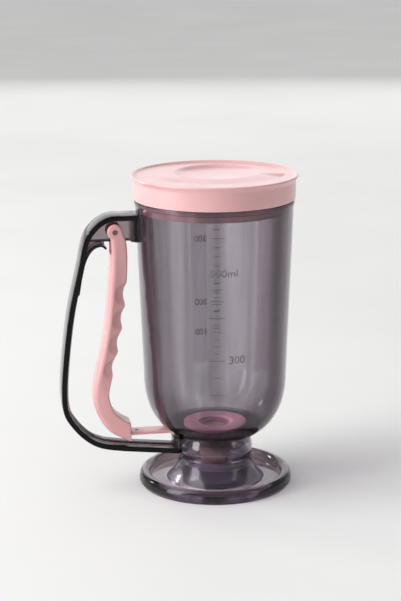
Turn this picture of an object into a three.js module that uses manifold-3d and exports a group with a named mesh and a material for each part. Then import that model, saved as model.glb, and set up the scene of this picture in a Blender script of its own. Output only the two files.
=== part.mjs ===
// Pancake batter dispenser: a clear smoked container on a drip stand, with a strap handle,
// a squeeze trigger that pulls a flat gate from over the outlet, a nozzle and a lid.
// Millimetres, +Z up. The origin is the centre of the stand's flat underside, and the
// handle points to -X.
import * as THREE from "three";
import { mergeVertices } from "three/addons/utils/BufferGeometryUtils.js";
import Module from "manifold-3d";

const wasm = await Module();
wasm.setup();

// Shared fits
const runGap = 0.4; // between pieces that slide or turn
const seatGap = 0.3; // between pieces that are pushed together and stay
const overrun = 2; // how far a cut reaches past the surface that it opens
const bite = 0.6; // how far joined shapes of one piece reach into each other

// Container
const neckHeight = 11; // from the collar's lower edge up to the bowl's lowest point
const bowlDepth = 51.4;
const wallHeight = 122.2; // from the bowl up to the rim
const rimRadius = 54.8;
const wallTaper = 4.8; // how much narrower the wall is at the bowl
const bowlPowerShare = 0.816; // squareness of the bowl's curve: 1 is an ellipse
const wall = 2.3;
const rimBandHeight = 3.4; // slightly thicker band below the rim
const rimBandProud = 0.5;

// Neck collar below the bowl
const collarBottom = 20;
const collarRadius = 25.6; // at its lower edge
const collarBulgeShare = 1.02;
const collarTopShare = 0.953;
const collarWall = 2.2;

// Outlet, gate and their seats
const boreRadius = 6.8;
const gateLift = 7.6; // from the bowl's lowest point up to the gate
const gateThickness = 2.1;
const gateWidth = 11.6;
const gateCover = 1.2; // how far the closed gate reaches past the bore
const keeperRadius = 1.3; // small hole near the strip's end
const keeperInset = 4.4;
const neckWidth = 6.8;
const hookLength = 2.6;
const seatRecess = 0.8; // how deep the seat's disc sits in the valve floor
const sealDepth = 1.5;
const sealStandoff = 0.15;
const seatRadius = 22.5;
const seatThickness = 2.8;
const seatEdge = 0.8; // bevel round the disc's top
const seatFunnelRadius = 12.7;
const seatFunnelSide = 2.8; // how far the funnel's steep side reaches inwards
const seatLipShare = 0.3; // of the disc's thickness, left at the bore's edge

// Nozzle
const nozzleProud = 6.6; // how far it reaches below the collar
const nozzleRadius = 11.6;
const nozzleMouthRadius = 9.4;
const nozzleTaper = 10.8; // height of its narrowing part
const nozzleWall = 1.9;
const spigotReach = 5.8;

// Handle
const handleDepth = 53.9; // from the container's pad to the outermost point
const handleDrop = 8.6; // from the container's rim down to the handle's top
const handleWidth = 19;
const strap = 3.7;
const webThickness = 3.2;
const ribHeight = 1.5; // of the inner rib, over the strap
const armDepth = 18.9; // of the upper arm, at the container
const beadHeight = 2;
const beadWidth = 5;
const flangeThickness = 2.2;
const endPlate = 1.5;
const lowerBlockHeight = 10.4;

// Rails on the container that the handle slides up onto
const railNeckWidth = 6;
const railNeckOut = 1.5;
const railHeadWidth = 11;
const railHeadOut = 1.3;
const railStop = 1.8; // handle material under the rail's lower end
const railCover = 1; // handle material over the rail's head
const padOut = 0.5; // pad's face, outside the container's radius at the handle's top
const lowerPadOut = 0.6;
const lowerPadWidth = 15;

// Trigger
const pivotShare = 0.275; // place of the pivot, and of the end wall that pulls the gate,
const cuffShare = 0.1046; // in the handle's depth
const pivotDrop = 11.7; // from the handle's top
const tipDrop = 4; // of the lever's tip, under the gate
const triggerWidth = 15.8;
const cheekWall = 2;
const spineWall = 4.4;
const triggerHead = 5.3;
const spineClear = 2.4; // from the upper arm down to where the channel closes
const channelDrop = 16; // from the pivot down to where the lever's back is closed
const cuffHeight = 9.2; // top of the end wall that holds the strip, over the gate
const cuffUnder = 1.4; // bottom of that wall, under the gate
const grooveDepth = 1.8;
const grooveRadius = 16;
const grooveCount = 4;
const groovePitch = 17.4;
const firstGroove = 43.8; // from the pivot down to the first finger groove
const pinRadius = 1.4;
const pinProud = 0.2;

// Return spring round the pivot pin
const springWire = 0.7;
const springTurns = 2;
const springClear = 1.2; // round the pin
const springLeg = 11;
const springRoom = 1.2; // the spine's swing at the spring's foot as the trigger is squeezed

// Stand
const standRadius = 54.1;
const standFootInset = 1.4;
const standWiden = 2.5; // height of the widest ring
const standRim = 9.3;
const standRimWidth = 8.4;
const standFloor = 3.2;
const hubFlare = 9.1;
const hubWall = 2.2;
const hubHollowShare = 0.66; // how far up the hub its hollow reaches
const lipWall = 2;
const lipHeight = 5;

// Lid
const lidOverhang = 0.9; // past the container's rim
const lidDraft = 0.3;
const lidFlare = 1.8;
const lidFlareHeight = 4.2;
const lidHeight = 16.8; // from the container's rim to the top of the lid
const lidRimWidth = 2.6;
const lidRimRound = 0.7;
const lidRecess = 1.4; // from the top of the rim down to the plate
const lidPlate = 3;
const lidWall = 2.2;
const plugDepth = 7.7;
const plugWall = 2;
const dialRadius = 30.5;
const dialSide = 4.5; // place of the dial's centre, to the right of
const dialBack = 15.5; // and behind the lid's centre
const dialDepth = 0.9;

// Numbers of steps
const aroundSteps = 60;
const roundSteps = 36;
const barSteps = 20;
const bowlSteps = 10;
const contourSteps = 40;
const archSteps = 8;
const curlSteps = 8;
const wireSides = 5;

// Colours
const smoke = 0x8d8894;
const darkSmoke = 0x4b4652;
const blush = 0xeab6b2;
const deepBlush = 0xc98f8d;
const steel = 0xa7a39f;

function finish(color, roughness, metalness = 0) {
  return new THREE.MeshStandardMaterial({ color, roughness, metalness });
}

// Solids from three.js geometry, and back
function solid(geometry) {
  const plain = geometry.index ? geometry.toNonIndexed() : geometry.clone();
  plain.deleteAttribute("normal");
  plain.deleteAttribute("uv");
  const merged = mergeVertices(plain, 1e-4);
  const triVerts = new Uint32Array(merged.index.array);
  const vertProperties = merged.attributes.position.array;
  return new wasm.Manifold(new wasm.Mesh({ numProp: 3, vertProperties, triVerts }));
}

function piece(name, body, material) {
  const out = body.getMesh();
  const geometry = new THREE.BufferGeometry();
  geometry.setAttribute("position", new THREE.BufferAttribute(out.vertProperties, 3));
  geometry.setIndex(new THREE.BufferAttribute(out.triVerts, 1));
  geometry.computeVertexNormals();
  const made = new THREE.Mesh(geometry, material);
  made.name = name;
  return made;
}

function joined(...bodies) {
  return bodies.reduce((whole, next) => whole.add(next));
}

function cut(body, ...cutters) {
  return cutters.reduce((whole, next) => whole.subtract(next), body);
}

// A turned solid from a closed outline of [radius, height].
function turned(outline, steps = aroundSteps) {
  const points = outline.map(([r, z]) => new THREE.Vector2(r, z));
  if (THREE.ShapeUtils.area(points) < 0) points.reverse();
  const before = (i) => points[(i + points.length - 1) % points.length];
  const start = points.findIndex((p, i) => p.x === 0 && before(i).x === 0);
  const profile = points.map((p, i) => points[(Math.max(start, 0) + i) % points.length]);
  if (start < 0) profile.push(profile[0].clone());
  return solid(new THREE.LatheGeometry(profile, steps).rotateX(Math.PI / 2));
}

// A plate of the given thickness from an outline of [x, z], centred on the plane y = 0.
function plate(outline, thickness) {
  const shape = new THREE.Shape(outline.map(([x, z]) => new THREE.Vector2(x, z)));
  const geometry = new THREE.ExtrudeGeometry(shape, { depth: thickness, bevelEnabled: false });
  return solid(geometry.translate(0, 0, -thickness / 2).rotateX(Math.PI / 2));
}

// A flat sheet from an outline of [x, y], lying from height z up.
function sheet(outline, thickness, z) {
  const shape = new THREE.Shape(outline.map(([x, y]) => new THREE.Vector2(x, y)));
  const geometry = new THREE.ExtrudeGeometry(shape, { depth: thickness, bevelEnabled: false });
  return solid(geometry.translate(0, 0, z));
}

// A box between two values of x and of z, centred on the plane y = 0.
function block(x0, x1, width, z0, z1) {
  const geometry = new THREE.BoxGeometry(x1 - x0, width, z1 - z0);
  return solid(geometry.translate((x0 + x1) / 2, 0, (z0 + z1) / 2));
}

// An upright round bar between two heights.
function drum(radius, z0, z1, x = 0, y = 0) {
  const geometry = new THREE.CylinderGeometry(radius, radius, z1 - z0, roundSteps);
  return solid(geometry.rotateX(Math.PI / 2).translate(x, y, (z0 + z1) / 2));
}

// A round bar along Y through a point of the plane y = 0.
function crossBar(radius, length, x, z) {
  const geometry = new THREE.CylinderGeometry(radius, radius, length, barSteps);
  return solid(geometry.translate(x, 0, z));
}

// A smooth line through [x, z] points.
function smooth(points, steps) {
  const line = new THREE.SplineCurve(points.map(([x, z]) => new THREE.Vector2(x, z)));
  return line.getPoints(steps).map((p) => [p.x, p.y]);
}

// The same line moved sideways: to the left of its direction if the distance is positive.
function sideways(points, distance) {
  return points.map(([x, z], i) => {
    const [xa, za] = points[Math.max(i - 1, 0)];
    const [xb, zb] = points[Math.min(i + 1, points.length - 1)];
    const length = Math.hypot(xb - xa, zb - za);
    return [x - ((zb - za) / length) * distance, z + ((xb - xa) / length) * distance];
  });
}

function backwards(points) {
  return points.slice().reverse();
}

// Levels and places that several pieces share
const bowlBottom = collarBottom + neckHeight;
const bowlHeight = bowlBottom + bowlDepth;
const rimHeight = bowlHeight + wallHeight;
const bowlRadius = rimRadius - wallTaper;
const collarTopRadius = collarRadius * collarTopShare;
const collarTop = bowlLevel(collarTopRadius);
const gateBottom = bowlBottom + gateLift;
const gateTop = gateBottom + gateThickness;
const slotFloor = gateBottom - seatGap;
const slotTop = gateTop + seatGap;
const padHalf = boreRadius + gateCover; // half the gate's pad, across and past the axis
const padTaper = padHalf * 2 - gateWidth / 2; // where the pad has narrowed to the strip
const gateTravel = boreRadius + padHalf + gateCover / 2;
const nozzleTop = bowlBottom - seatGap;
const nozzleBottom = collarBottom - nozzleProud;
const spigotRadius = nozzleRadius - nozzleWall - seatGap;
const spigotBore = spigotRadius - nozzleWall;
const spigotBottom = nozzleTop - spigotReach;
const handleTop = rimHeight - handleDrop;
const armBottom = handleTop - armDepth;
const lowerBlockTop = collarTop - runGap;
const lowerBlockBottom = lowerBlockTop - lowerBlockHeight;
const hubTop = collarBottom - seatGap;

// Height at which the bowl's outside has a radius.
function bowlLevel(radius) {
  const out = (radius / bowlRadius) ** (2 / bowlPowerShare);
  return bowlHeight - bowlDepth * (1 - out) ** (bowlPowerShare / 2);
}

// Outside radius of the container's straight wall at a height.
function wallRadius(z) {
  return bowlRadius + ((rimRadius - bowlRadius) * (z - bowlHeight)) / (rimHeight - bowlHeight);
}

const padFace = wallRadius(handleTop) + padOut;
const lowerPadFace = collarRadius * collarBulgeShare + lowerPadOut;
const plateFace = padFace + seatGap; // where the handle meets the upper pad
const lowerPlateFace = lowerPadFace + seatGap;
const pivotX = -(plateFace + handleDepth * pivotShare);
const pivotHeight = handleTop - pivotDrop;
const cuffFace = plateFace + handleDepth * cuffShare; // outer face of the trigger's end wall
const gateEnd = cuffFace - runGap; // shoulder of the gate's strip
const channelWidth = triggerWidth - cheekWall * 2;

// Container
// The bowl's curve from its lowest point up to the straight wall, drawn in by an inset.
function bowlCurve(inset) {
  const points = [[0, bowlBottom + inset]];
  for (let i = bowlSteps - 1; i >= 0; i--) {
    const angle = (Math.PI / 2) * (i / bowlSteps);
    const out = Math.cos(angle) ** bowlPowerShare;
    const down = Math.sin(angle) ** bowlPowerShare;
    points.push([(bowlRadius - inset) * out, bowlHeight - (bowlDepth - inset) * down]);
  }
  return points;
}

function containerOutside() {
  const band = rimHeight - rimBandHeight;
  return turned([
    ...bowlCurve(0),
    [wallRadius(band), band],
    [rimRadius + rimBandProud, band + rimBandProud],
    [rimRadius + rimBandProud, rimHeight],
    [0, rimHeight],
  ]);
}

function containerInside() {
  const radius = rimRadius - wall;
  const top = rimHeight + overrun;
  return turned([...bowlCurve(wall), [radius, rimHeight], [radius, top], [0, top]]);
}

// The way that the gate slides in: narrow for its strip, wide for its pad.
function gateSlot() {
  const strip = gateWidth + seatGap * 2;
  const pad = (padHalf + seatGap) * 2;
  return joined(
    block(-rimRadius, 0, strip, slotFloor, slotTop),
    block(-padTaper - gateTravel - runGap, padHalf + runGap, pad, slotFloor, slotTop),
  );
}

// The thick floor of the bowl, with the recess for the seat.
function valveFloor() {
  const top = slotTop + seatRecess;
  const seatRoom = drum(seatRadius + seatGap, slotTop, top + overrun);
  return cut(drum(rimRadius, bowlBottom, top), seatRoom);
}

function collar() {
  const rings = [
    [collarRadius, collarBottom],
    [collarRadius * collarBulgeShare, (collarBottom + collarTop) / 2],
    [collarTopRadius, collarTop],
  ];
  const outer = smooth(rings, bowlSteps / 2);
  const inner = outer.map(([r, z]) => [r - collarWall, z]);
  return turned([...outer, ...backwards(inner)]);
}

// A T-shaped rail that stands on a pad's face.
function rail(face, root, bottom, top) {
  const neckEnd = face + railNeckOut;
  return joined(
    block(-neckEnd - bite, -root, railNeckWidth, bottom, top),
    block(-neckEnd - railHeadOut, -neckEnd, railHeadWidth, bottom, top),
  );
}

function upperMount() {
  const root = wallRadius(armBottom) - wall;
  return joined(
    block(-padFace, -root, handleWidth, armBottom, handleTop),
    rail(padFace, root, armBottom + railStop + seatGap, handleTop),
  );
}

function lowerMount() {
  const root = collarTopRadius - collarWall / 2;
  return joined(
    block(-lowerPadFace, -root, lowerPadWidth, lowerBlockBottom, lowerBlockTop),
    rail(lowerPadFace, root, lowerBlockBottom + railStop + seatGap, lowerBlockTop),
  );
}

function container() {
  const outside = containerOutside();
  const inside = containerInside();
  const shell = cut(outside, inside);
  const floor = valveFloor().intersect(outside);
  const mounts = joined(cut(upperMount(), inside), lowerMount());
  const spigot = drum(spigotRadius, spigotBottom, bowlBottom + bite * 2);
  return cut(
    joined(shell, floor, mounts, collar(), spigot),
    gateSlot(),
    drum(padHalf + seatGap, slotFloor - sealDepth, slotFloor + bite),
    drum(boreRadius, bowlBottom - overrun, slotTop),
    drum(spigotBore, spigotBottom - overrun, bowlBottom + bite),
  );
}

// Valve seat: a soft disc with a shallow funnel, over the gate
function valveSeat() {
  const top = slotTop + seatThickness;
  const lip = slotTop + seatThickness * seatLipShare;
  return turned([
    [boreRadius, slotTop],
    [seatRadius, slotTop],
    [seatRadius, top - seatEdge],
    [seatRadius - seatEdge, top],
    [seatFunnelRadius, top],
    [seatFunnelRadius - seatFunnelSide, lip + (top - lip) * seatLipShare],
    [boreRadius, lip],
  ]);
}

// Ring under the gate that the closed gate presses on
function outletSeal() {
  const bottom = slotFloor - sealDepth + sealStandoff;
  const top = gateBottom - sealStandoff;
  const ring = [[boreRadius, bottom], [padHalf, bottom], [padHalf, top], [boreRadius, top]];
  return turned(ring, roundSteps);
}

// Gate: a pad over the outlet, a strip out to the trigger, and a hook behind its end wall
function gateSlide() {
  const strip = gateWidth / 2;
  const neck = neckWidth / 2;
  const hook = channelWidth / 2 - runGap;
  const hookFace = cuffFace + cheekWall + runGap;
  const half = [
    [padHalf, 0],
    [padHalf, padHalf / 2],
    [padHalf / 2, padHalf],
    [-padHalf, padHalf],
    [-padTaper, strip],
    [-gateEnd, strip],
    [-gateEnd, neck],
    [-hookFace, neck],
    [-hookFace, hook],
    [-hookFace - hookLength, hook],
  ];
  const mirrored = backwards(half.map(([x, y]) => [x, -y])).slice(0, -1);
  const hole = drum(keeperRadius, gateBottom - overrun, gateTop + overrun, keeperInset - gateEnd);
  return cut(sheet([...half, ...mirrored], gateThickness, gateBottom), hole);
}

// Nozzle, pushed over the container's spigot
function nozzle() {
  const inner = spigotRadius + seatGap;
  const step = spigotBottom - seatGap;
  return turned([
    [nozzleMouthRadius - nozzleWall, nozzleBottom],
    [nozzleMouthRadius, nozzleBottom],
    [nozzleRadius, nozzleBottom + nozzleTaper],
    [nozzleRadius, nozzleTop],
    [inner, nozzleTop],
    [inner, step],
    [spigotBore, step],
  ], roundSteps);
}

// Handle
// Outer line of the strap from the upper arm down, as shares of the handle's depth and of
// its height over the lower block.
const outerShares = [
  [0.19, 1], [0.3, 1], [0.409, 0.991], [0.534, 0.964], [0.664, 0.907], [0.759, 0.78],
  [0.877, 0.617], [0.953, 0.452], [0.996, 0.299], [0.98, 0.203], [0.889, 0.144],
  [0.717, 0.083], [0.504, 0.043], [0.19, 0.024],
];
// Lower edge of the arch that closes the upper corner, in the same shares.
const archShares = [
  [0.402, 0.866], [0.429, 0.874], [0.464, 0.878], [0.536, 0.871], [0.601, 0.85],
  [0.658, 0.812], [0.7, 0.76], [0.741, 0.685],
];

function handleLine(shares, steps) {
  const height = handleTop - lowerBlockBottom;
  const place = ([x, z]) => [-plateFace - x * handleDepth, lowerBlockBottom + z * height];
  return smooth(shares.map(place), steps);
}

// The strap from the upper block round to the lower one, or the strap with its inner rib.
function strapOutline(depth) {
  const outer = handleLine(outerShares, contourSteps);
  return [
    [-plateFace, handleTop],
    ...outer,
    [-lowerPlateFace, lowerBlockBottom],
    [-lowerPlateFace, lowerBlockBottom + depth],
    ...backwards(sideways(outer, depth)),
    [-plateFace, handleTop - depth],
  ];
}

// The thin panel between the upper arm, the strap and the arch.
function cornerPanel() {
  const arch = handleLine(archShares, archSteps);
  const lowest = arch[arch.length - 1][1];
  const inner = sideways(handleLine(outerShares, contourSteps), strap / 2);
  return [
    [-plateFace, handleTop - strap / 2],
    ...inner.filter(([, z]) => z > lowest),
    ...backwards(arch),
    [arch[0][0], armBottom],
    [-plateFace, armBottom],
  ];
}

function archFlange() {
  const arch = handleLine(archShares, archSteps);
  return [...arch, ...backwards(sideways(arch, -flangeThickness))];
}

// A slot that takes a rail, open at the top.
function railSlot(face, bottom, top) {
  const lip = face + railNeckOut - seatGap * 2;
  const end = face + railNeckOut + railHeadOut;
  return joined(
    block(-end, overrun - face, railNeckWidth + seatGap * 2, bottom, top),
    block(-end, -lip, railHeadWidth + seatGap * 2, bottom, top),
  );
}

function handleFrame() {
  const blockWidth = railHeadWidth + (seatGap + railCover) * 2;
  const blockDepth = railNeckOut + railHeadOut + railCover;
  const solidHandle = joined(
    plate(strapOutline(strap), handleWidth),
    plate(strapOutline(strap + ribHeight), webThickness),
    plate(cornerPanel(), webThickness),
    plate(archFlange(), handleWidth),
    block(-plateFace - blockDepth - bite, -plateFace, beadWidth, armBottom, armBottom + beadHeight),
    block(-plateFace - endPlate, -plateFace, handleWidth, armBottom, handleTop),
    block(-plateFace - blockDepth, -plateFace, blockWidth, armBottom, handleTop),
    block(-lowerPlateFace - blockDepth, -lowerPlateFace, blockWidth, lowerBlockBottom, lowerBlockTop),
  );
  return cut(
    solidHandle,
    railSlot(plateFace, armBottom + railStop, handleTop + overrun),
    railSlot(lowerPlateFace, lowerBlockBottom + railStop, lowerBlockTop + overrun),
    crossBar(pinRadius + seatGap, handleWidth, pivotX, pivotHeight),
  );
}

// Trigger
// Edges of the lever from the pivot to the tip, as shares of the handle's depth and of the
// lever's length: on the strap's side and on the fingers' side.
const backShares = [
  [-0.095, 0], [-0.056, 0.05], [-0.06, 0.156], [-0.089, 0.28], [-0.128, 0.419],
  [-0.195, 0.56], [-0.257, 0.654], [-0.301, 0.732], [-0.307, 0.795], [-0.271, 0.855],
  [-0.173, 0.922], [-0.067, 0.961], [0.126, 0.998],
];
const frontShares = [
  [0.095, 0], [0.14, 0.045], [0.154, 0.106], [0.148, 0.198], [0.131, 0.262],
  [0.117, 0.346], [0.067, 0.465], [0.003, 0.589], [-0.073, 0.7], [-0.106, 0.755],
  [-0.1, 0.797], [-0.042, 0.853], [0.064, 0.89],
];
const triggerTip = gateBottom - tipDrop;

function leverLine(shares) {
  const length = pivotHeight - triggerTip;
  return shares.map(([x, z]) => [pivotX + x * handleDepth, pivotHeight - z * length]);
}

function frontLine() {
  return smooth([...leverLine(frontShares), [-cuffFace, gateBottom + cuffHeight]], contourSteps);
}

// Where a line crosses a height.
function crossing(points, z) {
  const i = points.findIndex((p) => p[1] < z);
  const [xa, za] = points[i - 1];
  const [xb, zb] = points[i];
  return xa + ((xb - xa) * (z - za)) / (zb - za);
}

// The hollows of the lever, open towards the strap: at the head, where it straddles the arm,
// and at the tip, where it holds the gate's hook.
function triggerChannel() {
  const innerFace = cuffFace + cheekWall;
  const far = -plateFace - handleDepth;
  const closed = pivotHeight - channelDrop;
  const spine = sideways(frontLine(), -spineWall).filter(([, z]) => z > closed);
  const low = gateBottom - cuffUnder;
  const hookRoof = gateBottom + cuffHeight - cheekWall;
  const top = pivotHeight + triggerHead + overrun;
  const tip = triggerTip - overrun;
  return joined(
    plate([[far, pivotHeight], ...spine, [far, spine[spine.length - 1][1]]], channelWidth),
    block(far, -innerFace, channelWidth, tip, hookRoof),
    block(far, -plateFace, channelWidth, armBottom - spineClear, top),
    block(far, -plateFace, channelWidth, tip, low),
    block(-innerFace - bite, -plateFace, neckWidth + runGap * 2, low - bite, gateTop + runGap * 2),
  );
}

function fingerGrooves() {
  const line = frontLine();
  const grooves = [];
  for (let i = 0; i < grooveCount; i++) {
    const z = pivotHeight - firstGroove - i * groovePitch;
    const x = crossing(line, z) + grooveRadius - grooveDepth;
    grooves.push(crossBar(grooveRadius, handleWidth, x, z));
  }
  return grooves;
}

function trigger() {
  const back = smooth(leverLine(backShares), contourSteps);
  const body = joined(
    plate([...frontLine(), [-cuffFace, triggerTip], ...backwards(back)], triggerWidth),
    crossBar(triggerHead, triggerWidth, pivotX, pivotHeight),
  );
  const pinHole = crossBar(pinRadius + runGap, handleWidth, pivotX, pivotHeight);
  return cut(body, triggerChannel(), ...fingerGrooves(), pinHole);
}

function pivotPin() {
  return crossBar(pinRadius, triggerWidth + pinProud * 2, pivotX, pivotHeight);
}

// Return spring
// Its wire runs down along the spine, round the pin and up to the underside of the strap.
function springRoute() {
  const spineFace = crossing(frontLine(), pivotHeight - springLeg) - spineWall;
  const foot = spineFace - runGap - springRoom - springWire / 2;
  const radius = pinRadius + springClear + springWire / 2;
  const start = webThickness / 2 + runGap + springWire / 2;
  const pitch = (channelWidth / 2 - runGap - springWire / 2 - start) / springTurns;
  const legTop = handleTop - strap - runGap;
  const points = [new THREE.Vector3(foot, start, pivotHeight - springLeg)];
  for (let i = 0; i <= springTurns * curlSteps; i++) {
    const angle = (Math.PI * 2 * i) / curlSteps;
    const y = start + (pitch * i) / curlSteps;
    const x = pivotX + radius * Math.cos(angle);
    points.push(new THREE.Vector3(x, y, pivotHeight + radius * Math.sin(angle)));
  }
  points.push(new THREE.Vector3(pivotX + radius, start + pitch * springTurns, legTop));
  return points;
}

// A wire of flat-sided section along points, closed at both ends.
function wire(points, radius) {
  const side = new THREE.Vector3(0, 1, 0);
  const positions = [];
  points.forEach((point, i) => {
    const before = points[Math.max(i - 1, 0)];
    const after = points[Math.min(i + 1, points.length - 1)];
    const ahead = after.clone().sub(before).normalize();
    const across = side.clone().addScaledVector(ahead, -ahead.dot(side)).normalize();
    const third = ahead.clone().cross(across);
    for (let k = 0; k < wireSides; k++) {
      const angle = (Math.PI * 2 * k) / wireSides;
      const place = point.clone().addScaledVector(across, radius * Math.cos(angle));
      positions.push(...place.addScaledVector(third, radius * Math.sin(angle)));
    }
  });
  const faces = [];
  for (let i = 0; i < points.length - 1; i++) {
    for (let k = 0; k < wireSides; k++) {
      const a = i * wireSides + k;
      const b = i * wireSides + ((k + 1) % wireSides);
      faces.push(a, b, b + wireSides, a, b + wireSides, a + wireSides);
    }
  }
  const last = (points.length - 1) * wireSides;
  for (let k = 1; k < wireSides - 1; k++) {
    faces.push(0, k + 1, k);
    faces.push(last, last + k, last + k + 1);
  }
  const geometry = new THREE.BufferGeometry();
  geometry.setAttribute("position", new THREE.Float32BufferAttribute(positions, 3));
  geometry.setIndex(faces);
  return solid(geometry);
}

// The least gap between turns, on points at least half a turn apart along the wire.
function leastGap(points) {
  let least = Infinity;
  for (let i = 0; i < points.length; i++) {
    for (let j = i + curlSteps / 2; j < points.length; j++) {
      least = Math.min(least, points[i].distanceTo(points[j]) - springWire);
    }
  }
  return least;
}

function returnSpring() {
  const route = springRoute();
  console.log("return_spring least gap", leastGap(route).toFixed(2), "mm");
  return wire(route, springWire / 2);
}

// Stand
function rimArc() {
  const half = standRimWidth / 2;
  const points = [];
  for (let i = 0; i <= bowlSteps; i++) {
    const angle = (Math.PI * i) / bowlSteps;
    const out = Math.sign(Math.cos(angle)) * Math.abs(Math.cos(angle)) ** bowlPowerShare;
    const up = Math.sin(angle) ** bowlPowerShare;
    points.push([standRadius - half + out * half, standWiden + up * (standRim - standWiden)]);
  }
  return points.filter(([r, z]) => r > standRadius - half || z > standFloor);
}

function hubCurve() {
  const points = [];
  for (let i = 0; i <= archSteps; i++) {
    const share = i / archSteps;
    const height = standFloor + (hubTop - standFloor) * share;
    points.push([collarRadius + hubFlare * (1 - share) ** 2, height]);
  }
  return points;
}

// The hollow under the hub, between its outer wall and the wall of the drip well.
function hubHollow(wellRadius) {
  const highest = standFloor + (hubTop - standFloor) * hubHollowShare;
  const under = hubCurve().filter(([, z]) => z < highest);
  const outer = under.map(([r, z]) => [r - hubWall, z]);
  return turned([
    [wellRadius + hubWall, -overrun],
    [outer[0][0], -overrun],
    ...outer,
    [wellRadius + hubWall, outer[outer.length - 1][1]],
  ]);
}

function stand() {
  const lipRadius = collarRadius - collarWall - runGap;
  const innerFoot = standRadius - standRimWidth;
  const body = turned([
    [0, 0],
    [standRadius - standFootInset, 0],
    ...rimArc(),
    [innerFoot, standFloor],
    ...hubCurve(),
    [lipRadius, hubTop],
    [lipRadius, hubTop + lipHeight],
    [lipRadius - lipWall, hubTop + lipHeight],
    [lipRadius - lipWall, standFloor],
    [0, standFloor],
  ]);
  return cut(body, hubHollow(lipRadius - lipWall));
}

// Lid: a shallow cap that rests on the rim, with a plug inside it
function lid() {
  const seat = rimHeight + seatGap;
  const top = rimHeight + lidHeight;
  const plateTop = top - lidRecess;
  const plateBottom = plateTop - lidPlate;
  const skirt = rimRadius + lidOverhang;
  const body = skirt + lidDraft;
  const edge = body + lidFlare;
  const plug = rimRadius - wall - runGap;
  const cap = turned([
    [0, plateBottom],
    [plug - plugWall, plateBottom],
    [plug - plugWall, rimHeight - plugDepth],
    [plug, rimHeight - plugDepth],
    [plug, plateBottom],
    [skirt - lidWall, plateBottom],
    [skirt - lidWall, seat],
    [skirt, seat],
    [body, top - lidFlareHeight],
    [edge, top - lidRimRound],
    [edge - lidRimRound, top],
    [edge - lidRimWidth, top],
    [edge - lidRimWidth - lidRecess, plateTop],
    [0, plateTop],
  ]);
  return cut(cap, drum(dialRadius, plateTop - dialDepth, top, dialSide, dialBack));
}

// Assembly: the stand stays on the table, the rest lifts off it
const smoked = finish(smoke, 0.12);
const standBase = piece("stand_base", stand(), finish(darkSmoke, 0.12));
const dispenser = new THREE.Group();
dispenser.add(
  piece("container", container(), smoked),
  piece("handle_frame", handleFrame(), finish(darkSmoke, 0.15)),
  piece("valve_seat", valveSeat(), finish(deepBlush, 0.6)),
  piece("outlet_seal", outletSeal(), finish(deepBlush, 0.65)),
  piece("nozzle", nozzle(), finish(blush, 0.5)),
  piece("pivot_pin", pivotPin(), finish(steel, 0.3, 0.9)),
  piece("return_spring", returnSpring(), finish(steel, 0.25, 0.9)),
);
const squeezed = new THREE.Group();
squeezed.add(
  piece("trigger_lever", trigger(), finish(blush, 0.4)),
  piece("gate_slide", gateSlide(), finish(blush, 0.45)),
);
dispenser.add(squeezed, piece("lid", lid(), finish(blush, 0.4)));

const root = new THREE.Group();
root.add(standBase, dispenser);

export default root;
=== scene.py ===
"""Looks of a pancake batter dispenser: a smoked container with its handle, trigger, gate,
valve seat, nozzle, lid and drip stand.

Shapes are drawn in millimetres, in the frame's axes, and turned to metres when a piece is
finished."""
from math import atan2, copysign, cos, hypot, pi, radians, sin, sqrt, tan, tau

import bmesh
import bpy
import numpy as np
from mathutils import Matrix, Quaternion, Vector


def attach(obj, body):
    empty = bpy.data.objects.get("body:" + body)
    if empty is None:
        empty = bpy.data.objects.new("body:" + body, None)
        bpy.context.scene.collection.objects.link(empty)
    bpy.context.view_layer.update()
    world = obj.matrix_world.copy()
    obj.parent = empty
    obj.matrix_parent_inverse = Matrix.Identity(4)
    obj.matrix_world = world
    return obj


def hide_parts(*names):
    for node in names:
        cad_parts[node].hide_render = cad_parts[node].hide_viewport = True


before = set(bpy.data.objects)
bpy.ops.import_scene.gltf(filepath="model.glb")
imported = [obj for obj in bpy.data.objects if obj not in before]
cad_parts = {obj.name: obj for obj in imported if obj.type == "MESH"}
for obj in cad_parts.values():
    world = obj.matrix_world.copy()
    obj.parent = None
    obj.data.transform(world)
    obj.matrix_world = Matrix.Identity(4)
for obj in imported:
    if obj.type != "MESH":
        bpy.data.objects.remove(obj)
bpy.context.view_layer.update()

MM = 0.001
TINY = 1e-6  # a length in millimetres that counts as none

# Sizes in millimetres, as in the part's source. Fits that the pieces share
RUN_GAP = 0.4
SEAT_GAP = 0.3
BITE = 0.6
OVERRUN = 2

# Container and neck collar
COLLAR_BOTTOM = 20
COLLAR_RADIUS = 25.6
COLLAR_BULGE_RADIUS = COLLAR_RADIUS * 1.02
COLLAR_TOP_RADIUS = COLLAR_RADIUS * 0.953
COLLAR_WALL = 2.2
NECK_HEIGHT = 11
BOWL_BOTTOM = COLLAR_BOTTOM + NECK_HEIGHT
BOWL_DEPTH = 51.4
BOWL_HEIGHT = BOWL_BOTTOM + BOWL_DEPTH
WALL_HEIGHT = 122.2
RIM_HEIGHT = BOWL_HEIGHT + WALL_HEIGHT
RIM_RADIUS = 54.8
WALL_TAPER = 4.8
BOWL_RADIUS = RIM_RADIUS - WALL_TAPER
BOWL_POWER = 0.816
WALL = 2.3
BAND_HEIGHT = 3.4
BAND_PROUD = 0.5

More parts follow.
